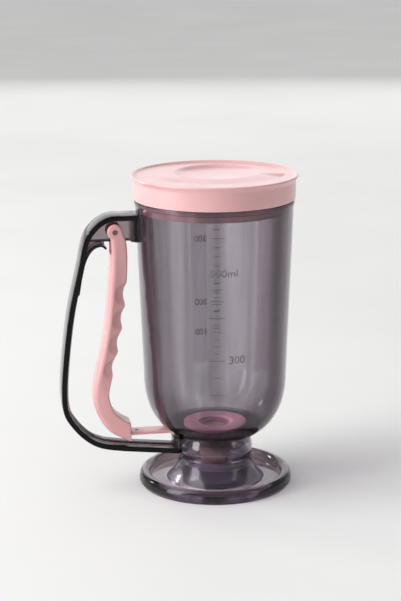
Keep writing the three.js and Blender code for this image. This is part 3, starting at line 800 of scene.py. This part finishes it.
def container():
    """The whole container, with the gate's slot, the seal's room and the outlet."""
    spigot = drum(SPIGOT_RADIUS, SPIGOT_BOTTOM, BOWL_BOTTOM + BITE * 2, 96)
    body = joined(vessel(), valve_floor(), upper_pad(), lower_pad(), collar(), spigot)
    strip = GATE_WIDTH + SEAT_GAP * 2
    pad = (PAD_HALF + SEAT_GAP) * 2
    slot = joined(
        block(-RIM_RADIUS, 0, strip, SLOT_FLOOR, SLOT_TOP),
        block(-PAD_TAPER - GATE_TRAVEL - RUN_GAP, PAD_HALF + RUN_GAP, pad, SLOT_FLOOR, SLOT_TOP),
    )
    return cut(
        body, slot,
        drum(PAD_HALF + SEAT_GAP, SLOT_FLOOR - SEAL_DEPTH, SLOT_FLOOR + BITE),
        drum(BORE_RADIUS, BOWL_BOTTOM - OVERRUN, SLOT_TOP),
        drum(SPIGOT_BORE, SPIGOT_BOTTOM - OVERRUN, BOWL_BOTTOM + BITE),
    )


# Valve seat, seal, gate and nozzle
def seat():
    """The soft disc on the valve floor, a shallow funnel."""
    funnel = (SEAT_FUNNEL - SEAT_FUNNEL_SIDE, SEAT_LIP + (SEAT_TOP - SEAT_LIP) * 0.3)
    outline = [
        (BORE_RADIUS, SLOT_TOP), (SEAT_RADIUS, SLOT_TOP), (SEAT_RADIUS, SEAT_TOP),
        (SEAT_FUNNEL, SEAT_TOP), funnel,
        (BORE_RADIUS, SEAT_LIP),
    ]
    return turned(rounded(outline, [0, 0.2, 1.1, 0.9, 0.8, 0.2]), 160)


def seal():
    """The soft ring under the gate."""
    low, high = SLOT_FLOOR - SEAL_DEPTH + SEAL_STANDOFF, GATE_BOTTOM - SEAL_STANDOFF
    outline = [(BORE_RADIUS, low), (PAD_HALF, low), (PAD_HALF, high), (BORE_RADIUS, high)]
    return turned(rounded(outline, 0.4), 96)


PAD_ARC = pi * 0.36  # from the pad's tip round to its straight side


def gate():
    """A round-ended pad over the outlet, a strip out to the trigger, and a hook."""
    strip, neck, hook = GATE_WIDTH / 2, GATE_NECK / 2, CHANNEL / 2 - RUN_GAP
    hook_face = CUFF_FACE + CHEEK_WALL + RUN_GAP
    pad = [(PAD_HALF * cos(a), PAD_HALF * sin(a)) for a in np.linspace(0, PAD_ARC, 12)]
    half = pad + [
        (PAD_HALF / 2, PAD_HALF), (-PAD_HALF, PAD_HALF), (-PAD_TAPER, strip), (-GATE_END, strip),
        (-GATE_END, neck), (-hook_face, neck), (-hook_face, hook), (-hook_face - HOOK_LENGTH, hook),
    ]
    outline = half + [(x, -y) for x, y in half[:0:-1]]
    # drawn on the plane y = 0, then laid flat
    body = plate(outline, GATE_THICKNESS, PLATE_EDGE, steps=4)
    for v in body.data.vertices:
        v.co = (v.co.x, v.co.z, GATE_BOTTOM + GATE_THICKNESS / 2 + v.co.y)
    body.data.flip_normals()
    hole = drum(KEEPER_RADIUS, GATE_BOTTOM - OVERRUN, GATE_TOP + OVERRUN, 48)
    for v in hole.data.vertices:
        v.co.x -= GATE_END - KEEPER_INSET
    return cut(body, hole)


def nozzle():
    """The tapered spout on the container's spigot."""
    socket = SPIGOT_RADIUS + SEAT_GAP
    ledge = SPIGOT_BOTTOM - SEAT_GAP
    outline = [
        (NOZZLE_MOUTH - NOZZLE_WALL, NOZZLE_BOTTOM), (NOZZLE_MOUTH, NOZZLE_BOTTOM),
        (NOZZLE_RADIUS, NOZZLE_SHOULDER), (NOZZLE_RADIUS, NOZZLE_TOP), (socket, NOZZLE_TOP),
        (socket, ledge), (SPIGOT_BORE, ledge),
    ]
    return turned(rounded(outline, [0.7, 0.7, 2.5, 0.6, 0.4, 0.2, 0.6]), 128)


# Handle. Its lines are shares of its depth, outwards from the plate, and of its height
OUTER = [
    (0.19, 1), (0.3, 1), (0.409, 0.991), (0.534, 0.964), (0.664, 0.907), (0.759, 0.78),
    (0.877, 0.617), (0.953, 0.452), (0.996, 0.299), (0.98, 0.203), (0.889, 0.144),
    (0.717, 0.083), (0.504, 0.043), (0.19, 0.024),
]
ARCH = [
    (0.402, 0.866), (0.429, 0.874), (0.464, 0.878), (0.536, 0.871), (0.601, 0.85),
    (0.658, 0.812), (0.7, 0.76), (0.741, 0.685),
]
OUTER_STEPS, ARCH_STEPS = 150, 40


def handle_line(shares, steps):
    """A smooth line from shares of the handle's depth and height."""
    height = HANDLE_TOP - LOWER_BOTTOM
    return catmull([(-PLATE_FACE - x * HANDLE_DEPTH, LOWER_BOTTOM + z * height) for x, z in shares], steps)


def strap_outline(depth):
    """The strap from the upper plate round to the lower one, as thick as depth."""
    outer = handle_line(OUTER, OUTER_STEPS)
    return (
        [(-PLATE_FACE, HANDLE_TOP)]
        + outer
        + [(-LOWER_PLATE_FACE, LOWER_BOTTOM), (-LOWER_PLATE_FACE, LOWER_BOTTOM + depth)]
        + sideways(outer, depth)[::-1]
        + [(-PLATE_FACE, HANDLE_TOP - depth)]
    )


def web_outline(arch):
    """The web between the strap, the arch and the arm's lower edge."""
    inner = sideways(handle_line(OUTER, OUTER_STEPS), STRAP / 2)
    corner = [p for p in inner if p[1] > arch[-1][1]]
    arm = [(arch[0][0], ARM_BOTTOM), (-PLATE_FACE, ARM_BOTTOM)]
    return [(-PLATE_FACE, HANDLE_TOP - STRAP / 2)] + corner + arch[::-1] + arm


def rail_slot(face, bottom, top):
    """The room for a rail, with a fit all round."""
    lip, end = face + RAIL_NECK - SEAT_GAP * 2, face + RAIL_NECK + RAIL_HEAD
    return joined(
        block(-end, OVERRUN - face, RAIL_NECK_WIDTH + SEAT_GAP * 2, bottom, top),
        block(-end, -lip, RAIL_HEAD_WIDTH + SEAT_GAP * 2, bottom, top),
    )


def handle():
    """The strap with its rib, the web and arch in its corner, and both end blocks."""
    arch = handle_line(ARCH, ARCH_STEPS)
    flange = arch + sideways(arch, -FLANGE * FLANGE_SHARE)[::-1]
    width = RAIL_HEAD_WIDTH + (SEAT_GAP + RAIL_COVER) * 2
    depth = RAIL_NECK + RAIL_HEAD + RAIL_COVER
    upper_end, lower_end = -PLATE_FACE - depth, -LOWER_PLATE_FACE - depth
    body = joined(
        plate(strap_outline(STRAP), HANDLE_WIDTH, EDGE),
        plate(strap_outline(STRAP + RIB), WEB, RIB_EDGE),
        plate(web_outline(arch), WEB, PANEL_EDGE),
        plate(flange, HANDLE_WIDTH, EDGE),
        block(upper_end - BITE, -PLATE_FACE, BEAD_WIDTH, ARM_BOTTOM, ARM_BOTTOM + BEAD_HEIGHT, RIB_EDGE),
        block(-PLATE_FACE - END_PLATE, -PLATE_FACE, HANDLE_WIDTH, ARM_BOTTOM, HANDLE_TOP, PLATE_EDGE),
        block(upper_end, -PLATE_FACE, width, ARM_BOTTOM, HANDLE_TOP, PLATE_EDGE),
        block(lower_end, -LOWER_PLATE_FACE, width, LOWER_BOTTOM, LOWER_TOP, PLATE_EDGE),
    )
    return cut(
        body,
        rail_slot(PLATE_FACE, ARM_BOTTOM + RAIL_STOP, HANDLE_TOP + OVERRUN),
        rail_slot(LOWER_PLATE_FACE, LOWER_BOTTOM + RAIL_STOP, LOWER_TOP + OVERRUN),
        cross_bar(PIN_RADIUS + SEAT_GAP, HANDLE_WIDTH, PIVOT_X, PIVOT_Z),
    )


# Trigger. Its lines are shares of the handle's depth, from the pivot, and of its own length
BACK = [
    (-0.095, 0), (-0.056, 0.05), (-0.06, 0.156), (-0.089, 0.28), (-0.128, 0.419),
    (-0.195, 0.56), (-0.257, 0.654), (-0.301, 0.732), (-0.307, 0.795), (-0.271, 0.855),
    (-0.173, 0.922), (-0.067, 0.961), (0.126, 0.998),
]
FRONT = [
    (0.095, 0), (0.14, 0.045), (0.154, 0.106), (0.148, 0.198), (0.131, 0.262),
    (0.117, 0.346), (0.067, 0.465), (0.003, 0.589), (-0.073, 0.7), (-0.106, 0.755),
    (-0.1, 0.797), (-0.042, 0.853), (0.064, 0.89),
]
FRONT_STEPS, BACK_STEPS = 240, 110
GROOVES = [PIVOT_Z - FIRST_GROOVE - i * GROOVE_PITCH for i in range(GROOVE_COUNT)]
SCOOP = (14.0, 9.6, 13.0)  # half sizes of the corner scoops
SCOOP_OUT = (2.6, 7.0)  # their centres, outside the corner
SCOOP_IN = 0.6  # share of the groove's depth that they reach further in
SCOOP_SPAN = 4  # heights above and below a groove that its scoop's lean is taken from
FRONT_EDGE, BACK_EDGE, TIP_EDGE, HEAD_EDGE = 1.1, 3.4, 0.7, 1.3


def lever_line(shares):
    """Points from shares of the handle's depth and the trigger's length."""
    length = PIVOT_Z - TRIGGER_TIP
    return [(PIVOT_X + x * HANDLE_DEPTH, PIVOT_Z - z * length) for x, z in shares]


def lever_front():
    """The trigger's finger side without its grooves."""
    return catmull(lever_line(FRONT) + [(-CUFF_FACE, GATE_BOTTOM + CUFF_HEIGHT)], FRONT_STEPS)


def crossing(points, z):
    """Where a falling line passes a height."""
    i = next(k for k, p in enumerate(points) if p[1] < z)
    (xa, za), (xb, zb) = points[i - 1], points[i]
    return xa + (xb - xa) * (z - za) / (zb - za)


def grooved(line):
    """The finger side of the lever with its scooped grooves."""
    out = []
    for x, z in line:
        place = x
        for zc in GROOVES:
            away = abs(z - zc)
            if away < GROOVE_RADIUS:
                centre = crossing(line, zc) + GROOVE_RADIUS - GROOVE_DEPTH
                place = min(place, centre - sqrt(GROOVE_RADIUS**2 - away**2))
        out.append((place, z))
    for _ in range(2):
        eased = [((a[0] + 2 * b[0] + c[0]) / 4, b[1]) for a, b, c in zip(out, out[1:], out[2:])]
        out = [out[0]] + eased + [out[-1]]
    return out


def scoop(x, y, z, lean):
    """An egg-shaped cutter for the corner of a finger groove."""
    egg = turned([(sin(a), -cos(a)) for a in np.linspace(0, pi, 37)], 72)
    for v in egg.data.vertices:
        u, w, h = v.co.x * SCOOP[0], v.co.y * SCOOP[1], v.co.z * SCOOP[2]
        v.co = (x + u + h * lean, y + w, z + h)
    return egg


def lever_hollows(front):
    """The spring's channel, the hook's pocket, the web's room, the strip's slot and the bore."""
    inner = CUFF_FACE + CHEEK_WALL
    far = -PLATE_FACE - HANDLE_DEPTH
    spine = [p for p in sideways(front, -SPINE_WALL) if p[1] > PIVOT_Z - CHANNEL_DROP]
    low, under = GATE_BOTTOM - CUFF_UNDER, TRIGGER_TIP - OVERRUN
    neck = GATE_NECK + RUN_GAP * 2
    head_top = PIVOT_Z + TRIGGER_HEAD + OVERRUN
    return (
        plate([(far, PIVOT_Z)] + spine + [(far, spine[-1][1])], CHANNEL),
        block(far, -inner, CHANNEL, under, GATE_BOTTOM + CUFF_HEIGHT - CHEEK_WALL),
        block(far, -PLATE_FACE, CHANNEL, ARM_BOTTOM - SPINE_CLEAR, head_top),
        block(far, -PLATE_FACE, CHANNEL, under, low),
        block(-inner - BITE, -PLATE_FACE, neck, low - BITE, GATE_TOP + RUN_GAP * 2),
        cross_bar(PIN_RADIUS + RUN_GAP, HANDLE_WIDTH, PIVOT_X, PIVOT_Z),
    )


def trigger():
    """The lever with its round head, its hollows and scooped corners."""
    front = lever_front()
    scooped = grooved(front)
    back = catmull(lever_line(BACK), BACK_STEPS)[::-1]
    outline = scooped + [(-CUFF_FACE, TRIGGER_TIP)] + back
    edge = [EDGE] + [FRONT_EDGE] * (len(scooped) - 1) + [TIP_EDGE]
    edge += [BACK_EDGE] * (len(back) - 1) + [EDGE]
    body = plate(outline, TRIGGER_WIDTH, edge, steps=7)
    head = plate(circle(TRIGGER_HEAD, PIVOT_X, PIVOT_Z, 72), TRIGGER_WIDTH, HEAD_EDGE)
    body = cut(joined(body, head), *lever_hollows(front))
    for zc in GROOVES:
        rise = crossing(front, zc + SCOOP_SPAN) - crossing(front, zc - SCOOP_SPAN)
        x = crossing(front, zc) - GROOVE_DEPTH * SCOOP_IN + SCOOP_OUT[0]
        for side in (-1, 1):
            y = side * (TRIGGER_WIDTH / 2 + SCOOP_OUT[1])
            body = cut(body, scoop(x, y, zc, rise / (SCOOP_SPAN * 2)))
    return body


# Pin and return spring
PIN_HEAD_RADIUS, PIN_HEAD_THICKNESS = 1.5, 0.14
DIMPLE_DEPTH, DIMPLE_FLOOR, DIMPLE_MOUTH = 0.12, 0.7, 0.8  # depth, then radii


def pin():
    """The pivot pin with a thin head and a dimple at each end."""
    end = TRIGGER_WIDTH / 2 + PIN_PROUD
    half = [
        (0, -end + DIMPLE_DEPTH), (DIMPLE_FLOOR, -end + DIMPLE_DEPTH), (DIMPLE_MOUTH, -end),
        (PIN_HEAD_RADIUS, -end), (PIN_HEAD_RADIUS, -end + PIN_HEAD_THICKNESS),
        (PIN_RADIUS, -end + PIN_HEAD_THICKNESS),
    ]
    corners = [0, 0.03, 0.03, 0.06, 0, 0]
    outline = half + [(r, -z) for r, z in half[::-1]]
    bar = turned(rounded(outline, corners + corners[::-1], 3), 64)
    for v in bar.data.vertices:
        v.co = (PIVOT_X + v.co.x, v.co.z, PIVOT_Z - v.co.y)
    return bar


TURN_STEPS = 40
WIRE_SIDES = 12


def spring_path():
    """A leg on the trigger's spine, turns round the pin, and a leg up to the strap."""
    finger_side = crossing(lever_front(), PIVOT_Z - SPRING_LEG)
    foot = finger_side - SPINE_WALL - RUN_GAP - SPRING_ROOM - SPRING_WIRE / 2
    radius = PIN_RADIUS + SPRING_CLEAR + SPRING_WIRE / 2
    start = WEB / 2 + RUN_GAP + SPRING_WIRE / 2
    pitch = (CHANNEL / 2 - RUN_GAP - SPRING_WIRE / 2 - start) / SPRING_TURNS
    path = []
    for t in np.linspace(0, 0.94, 8):
        path.append(Vector((foot + (PIVOT_X + radius - foot) * t, start, PIVOT_Z - SPRING_LEG * (1 - t))))
    for i in range(SPRING_TURNS * TURN_STEPS + 1):
        a = tau * i / TURN_STEPS
        y = start + pitch * i / TURN_STEPS
        path.append(Vector((PIVOT_X + radius * cos(a), y, PIVOT_Z + radius * sin(a))))
    top = HANDLE_TOP - STRAP - RUN_GAP
    last = path[-1]
    return path + [Vector((last.x, last.y, last.z + (top - last.z) * t)) for t in np.linspace(0.1, 1, 6)]


def spring():
    """A round wire along the spring's path."""
    path = spring_path()
    verts = []
    side = Vector((0, 1, 0))
    for i, p in enumerate(path):
        ahead = (path[min(i + 1, len(path) - 1)] - path[max(i - 1, 0)]).normalized()
        across = (side - ahead * ahead.dot(side)).normalized()
        third = ahead.cross(across)
        for k in range(WIRE_SIDES):
            a = tau * k / WIRE_SIDES
            half = SPRING_WIRE / 2
            verts.append(p + across * (half * cos(a)) + third * (half * sin(a)))
    return raw(verts, skin(len(path), WIRE_SIDES))


# Stand
RIM_STEPS, HUB_STEPS = 28, 24
ARC_END = 0.3  # how far above the tray the rim's arc stops


def stand_rim():
    """The rolled rim's profile, from the foot over the top to the tray."""
    half = STAND_RIM_WIDTH / 2
    arc = []
    for i in range(RIM_STEPS + 1):
        a = pi * i / RIM_STEPS
        out = copysign(abs(cos(a)) ** BOWL_POWER, cos(a))
        rise = abs(sin(a)) ** BOWL_POWER * (STAND_RIM - STAND_WIDEN)
        arc.append((STAND_RADIUS - half + out * half, STAND_WIDEN + rise))
    return [(r, z) for r, z in arc if r > STAND_RADIUS - half or z > STAND_FLOOR + ARC_END]


def stand():
    """The tray with its rim, the hollow flared hub, and the lip that holds the collar."""
    arc = stand_rim()
    hub = []
    for i in range(HUB_STEPS + 1):
        s = i / HUB_STEPS
        hub.append((COLLAR_RADIUS + HUB_FLARE * (1 - s) ** 2, STAND_FLOOR + (HUB_TOP - STAND_FLOOR) * s))
    lip = COLLAR_RADIUS - COLLAR_WALL - RUN_GAP
    bore = lip - LIP_WALL
    lip_top = HUB_TOP + LIP_HEIGHT
    foot = rounded([(0, 0), (STAND_RADIUS - STAND_FOOT_INSET, 0), arc[0]], [0, 0.8, 0])
    inner = rounded(
        [hub[-1], (lip, HUB_TOP), (lip, lip_top), (bore, lip_top), (bore, STAND_FLOOR), (0, STAND_FLOOR)],
        [0.4, 0, 0.7, 0.7, 1.2, 0],
    )
    tray_edge = (STAND_RADIUS - STAND_RIM_WIDTH, STAND_FLOOR)
    tray = rounded([arc[-1], tray_edge, hub[0], hub[1]], [0, 1.2, 1.4, 0])
    body = turned(foot[:-1] + arc[:-1] + tray[:-1] + hub[1:-1] + inner, FULL_CIRCLE)

    well = bore + HUB_WALL
    highest = STAND_FLOOR + (HUB_TOP - STAND_FLOOR) * HUB_HOLLOW
    under = [(r - HUB_WALL, z) for r, z in hub if z < highest]
    outline = [(well, -OVERRUN), (under[0][0], -OVERRUN)] + under + [(well, under[-1][1])]
    corners = [0] * (len(under) + 1) + [0.4, 0.4]
    return cut(body, turned(rounded(outline, corners), FULL_CIRCLE))


# Lid
DIAL_X, DIAL_Y, DIAL_RADIUS = 4.5, 15.5, 30.5
DIAL_DIP, DIAL_TILT, DIAL_TILT_TURN = 1.2, 1.1, 2.3
DIAL_SIDE, DIAL_SIDE_MORE, DIAL_SIDE_TURN = 2.6, 4.2, 2.7
SWIRL_RADIUS, SWIRL_DIP, SWIRL_STEP = 48.5, 1.9, 0.6
SWIRL_START, SWIRL_END = (-2.75, -2.3), (-0.5, -0.36)  # in radians, where it fades in and out


def step(value, low, high):
    """0 under low, 1 over high, and a smooth rise between them."""
    t = min(max((value - low) / (high - low), 0), 1)
    return t * t * (3 - 2 * t)


def relief(x, y):
    """How far the lid's top dips at a point: a tilted dial, and in front of it a slope that
    ends in a low step."""
    dx, dy = x - DIAL_X, y - DIAL_Y
    away, turn = hypot(dx, dy), atan2(dy, dx)
    tilt = (dx * cos(DIAL_TILT_TURN) + dy * sin(DIAL_TILT_TURN)) / DIAL_RADIUS
    width = DIAL_SIDE + DIAL_SIDE_MORE * max(cos(turn - DIAL_SIDE_TURN), 0)
    dip = (DIAL_DIP + DIAL_TILT * tilt) * (1 - step(away, DIAL_RADIUS - width, DIAL_RADIUS))
    fade = step(turn, *SWIRL_START) * (1 - step(turn, *SWIRL_END))
    slope = min(max((away - DIAL_RADIUS) / (SWIRL_RADIUS - DIAL_RADIUS), 0), 1)
    end = step(away, SWIRL_RADIUS - SWIRL_STEP, SWIRL_RADIUS + SWIRL_STEP)
    return dip + SWIRL_DIP * fade * slope * (1 - end)


def lid():
    """The cap: a flared skirt, a plug inside the rim, a rolled edge and the dished top."""
    seat_z, top = RIM_HEIGHT + SEAT_GAP, RIM_HEIGHT + LID_HEIGHT
    plate_top = top - LID_RECESS
    plate_low = plate_top - LID_PLATE
    skirt = RIM_RADIUS + LID_OVERHANG
    body = skirt + LID_DRAFT
    edge = body + LID_FLARE
    plug, plug_low = RIM_RADIUS - WALL - RUN_GAP, RIM_HEIGHT - PLUG_DEPTH
    flare_line = [
        (skirt, seat_z), (body - 0.05, seat_z + 6), (body, top - 5.2), (body + 0.35, top - 3.4),
        (edge - 0.2, top - 1.2), (edge, top - 0.8),
    ]
    flare = catmull(flare_line, 40)
    under = [
        (0, plate_low), (plug - PLUG_WALL, plate_low), (plug - PLUG_WALL, plug_low),
        (plug, plug_low), (plug, plate_low), (skirt - LID_WALL, plate_low),
        (skirt - LID_WALL, seat_z), (skirt, seat_z), flare[1],
    ]
    below = rounded(under, [0, 1, 0.5, 0.5, 0.6, 0.6, 0.3, 0.4, 0])
    # over the top and down to the plate
    rim_line = [
        flare[-1], (edge - 0.3, top - 0.2),
        (edge - 0.9, top), (edge - 1.6, top - 0.06), (edge - 2.4, top - 0.45),
        (edge - 3.2, plate_top + 0.35), (edge - 4.4, plate_top),
    ]
    rim = catmull(rim_line, 26)
    disc = [(r, plate_top) for r in np.linspace(edge - 5, 0, 100)]

    def lift(x, y, z):
        if abs(z - plate_top) < TINY and hypot(x, y) < edge - 4.5:
            return z - relief(x, y)
        return z

    return turned(below[:-1] + flare[1:] + rim[1:] + disc, LID_CIRCLE, lift)


# Scales on the container
SCALE_PROUD, SCALE_SUNK = 0.12, 0.03  # how far the marks stand out of the wall and reach in
FIGURE_HALF, FIGURE_BOLD = 0.5, 0.01  # half depth of the figures while flat, and their added stroke


def curved_bar(azimuth, half, z, height, back=False):
    """A thin bar on the container's outside, azimuth in degrees from the front."""
    steps = max(2, int(half * 2))
    section = ((-SCALE_SUNK, -1), (SCALE_PROUD, -1), (SCALE_PROUD, 1), (-SCALE_SUNK, 1))
    verts = []
    for i in range(steps + 1):
        a = radians(azimuth - half + 2 * half * i / steps)
        for out, side in section:
            level = z + side * height / 2
            radius = wall_radius(level) + out
            y = -radius * cos(a)
            verts.append((radius * sin(a), -y if back else y, level))
    return raw(verts, skin(steps + 1, len(section)))


def curved_text(text, size, azimuth, z, back=False):
    """Raised figures on the container's outside."""
    curve = bpy.data.curves.new(SCRATCH, "FONT")
    curve.body, curve.size = text, size
    curve.align_x, curve.align_y = "CENTER", "CENTER"
    curve.extrude = FIGURE_HALF
    curve.offset = FIGURE_BOLD
    holder = placed(SCRATCH, curve)
    mesh = evaluated(holder)
    bpy.data.objects.remove(holder)
    bm = bmesh.new()
    bm.from_mesh(mesh)
    bmesh.ops.remove_doubles(bm, verts=bm.verts, dist=SLIVER)
    bmesh.ops.triangulate(bm, faces=bm.faces)
    for v in bm.verts:
        level = z + v.co.y
        radius = wall_radius(level) + (-SCALE_SUNK if v.co.z < 0 else SCALE_PROUD)
        a = radians(azimuth) + v.co.x / radius
        x, y = radius * sin(a), radius * cos(a)
        v.co = (-x, y, level) if back else (x, -y, level)
    bm.to_mesh(mesh)
    bm.free()
    return placed(SCRATCH, mesh)


def merged(objects):
    """Several shapes as one object of separate shells."""
    bm = bmesh.new()
    for obj in objects:
        bm.from_mesh(obj.data)
        bpy.data.objects.remove(obj)
    mesh = bpy.data.meshes.new(SCRATCH)
    bm.to_mesh(mesh)
    bm.free()
    return placed(SCRATCH, mesh)


FRONT_AZIMUTH, BACK_AZIMUTH = -8.9, 12.4
TICK, FINE_TICK = 0.34, 0.26  # heights of the ticks' lines
FRONT_LEVELS = [77.8, 89.8, 102.1, 112.3, 122.2, 132.1, 142.0, 151.8, 161.6]
FRONT_LONG = (0, 2, 5, 8)
LONG, SHORT, FINE = 6.2, 3.4, 2.2  # half lengths of ticks, in degrees
BACK_COUNT, BACK_START, BACK_PITCH = 12, 98.2, 6.61
BACK_LONG = (3, 10)
FAR_LONG, FAR_SHORT = 6.0, 2.8
FIGURE_SIZE, BACK_FIGURE_SIZE = 7.6, 6.4
BACK_FIGURE_AZIMUTH = 1.0


def front_marks():
    """Ticks of the near scale, with finer ones between most of them."""
    marks = []
    for i, z in enumerate(FRONT_LEVELS):
        marks.append(curved_bar(FRONT_AZIMUTH, LONG if i in FRONT_LONG else SHORT, z, TICK))
        if 1 < i < len(FRONT_LEVELS) - 1:
            marks.append(curved_bar(FRONT_AZIMUTH, FINE, (z + FRONT_LEVELS[i + 1]) / 2, FINE_TICK))
    return marks


def front_figures():
    """Figures of the near scale."""
    return [curved_text("300", FIGURE_SIZE, 6.6, 102.2), curved_text("900ml", FIGURE_SIZE, -3.5, 162.6)]


def back_marks():
    """Ticks and figures of the far scale."""
    marks = []
    for i in range(BACK_COUNT):
        half = FAR_LONG if i in BACK_LONG else FAR_SHORT
        marks.append(curved_bar(BACK_AZIMUTH, half, BACK_START + BACK_PITCH * i, TICK, True))
    for text, z in (("100", 96.0), ("200", 118.0), ("300", 164.3)):
        marks.append(curved_text(text, BACK_FIGURE_SIZE, BACK_FIGURE_AZIMUTH, z, True))
    return marks


done(container(), "container_shell", "dispenser", CLEAR, ["container"], 30)
done(seat(), "valve_seat_disc", "dispenser", SEAT, ["valve_seat"])
done(seal(), "outlet_seal_ring", "dispenser", SHADED_SILICONE, ["outlet_seal"])
done(gate(), "gate_strip", "gate", PINK, ["gate_slide"])
done(nozzle(), "nozzle_spout", "dispenser", SHADED_SILICONE, ["nozzle"])
done(handle(), "handle_grip", "dispenser", HANDLE, ["handle_frame"], 30)
done(trigger(), "trigger_grip", "trigger", PINK, ["trigger_lever"], 38)
done(pin(), "pivot_pin_steel", "dispenser", STEEL, ["pivot_pin"])
done(spring(), "return_spring_wire", "dispenser", STEEL, ["return_spring"], 60)
done(stand(), "drip_stand", "stand", DARK, ["stand_base"], 30)
done(lid(), "lid_cap", "lid", LID_PINK, ["lid"], 50)
done(merged(front_marks()), "scale_front", "dispenser", MARKS)
done(merged(front_figures()), "figures_front", "dispenser", FIGURES)
done(merged(back_marks()), "scale_back", "dispenser", MARKS)

# Stage, from here on in metres
floor_corners = [(-30, -10, 0), (30, -10, 0), (30, 60, 0), (-30, 60, 0)]
floor_mesh = bpy.data.meshes.new("floor")
floor_mesh.from_pydata(floor_corners, [], [(0, 1, 2, 3)])
floor = placed("floor", floor_mesh)
floor.location.z = -0.0002
floor_mesh.materials.append(stage_floor("pale table"))

LIGHT_TARGET = Vector((0, 0, 0.1))


def softbox(name, place, width, height, power, colour=(1, 1, 1)):
    """A rectangular light turned to the object. power is in watts."""
    light = bpy.data.lights.new(name, "AREA")
    light.shape = "RECTANGLE"
    light.size, light.size_y = width, height
    light.energy = power
    light.color = colour
    holder = placed(name, light)
    holder.location = place
    holder.rotation_euler = (LIGHT_TARGET - Vector(place)).to_track_quat("-Z", "Y").to_euler()


softbox("key", (-1.5, -0.42, 0.62), 0.7, 1.3, 19.5, (0.985, 0.99, 1))
softbox("fill", (1.3, -1.0, 0.8), 0.35, 1.3, 2, (0.97, 0.98, 1))
softbox("back", (0.4, 2.2, 0.85), 3.0, 1.3, 11)
softbox("spark", (-1.11, 0.91, 0.71), 0.22, 0.3, 5)
softbox("top", (-0.2, 0.2, 1.9), 1.0, 1.0, 2)

sky_direction = Vector((0.75, 0.0, -1))
sky_light = bpy.data.lights.new("sky", "SUN")
sky_light.energy = 1.35
sky_light.angle = radians(42)
placed("sky", sky_light).rotation_euler = sky_direction.to_track_quat("-Z", "Y").to_euler()

world = bpy.data.worlds.new("studio")
world.use_nodes = True
background = world.node_tree.nodes["Background"]
feed(world.node_tree, background, {"Color": (0.93, 0.94, 0.96, 1), "Strength": 0.37})
bpy.context.scene.world = world

CAMERA_AIM = Vector((0.1685, 0.9558, -0.2409))
CAMERA_ROLL = -0.296  # degrees
camera_data = bpy.data.cameras.new("camera")
camera_data.sensor_width = 36
camera_data.lens = 102.94
camera_data.clip_start, camera_data.clip_end = 0.05, 60
camera = placed("camera", camera_data)
camera.location = (-0.21168, -1.14377, 0.42042)
camera.rotation_mode = "QUATERNION"
roll = Quaternion((0, 0, 1), radians(CAMERA_ROLL))
camera.rotation_quaternion = CAMERA_AIM.to_track_quat("-Z", "Y") @ roll
bpy.context.scene.view_settings.view_transform = "Standard"
bpy.context.scene.camera = camera
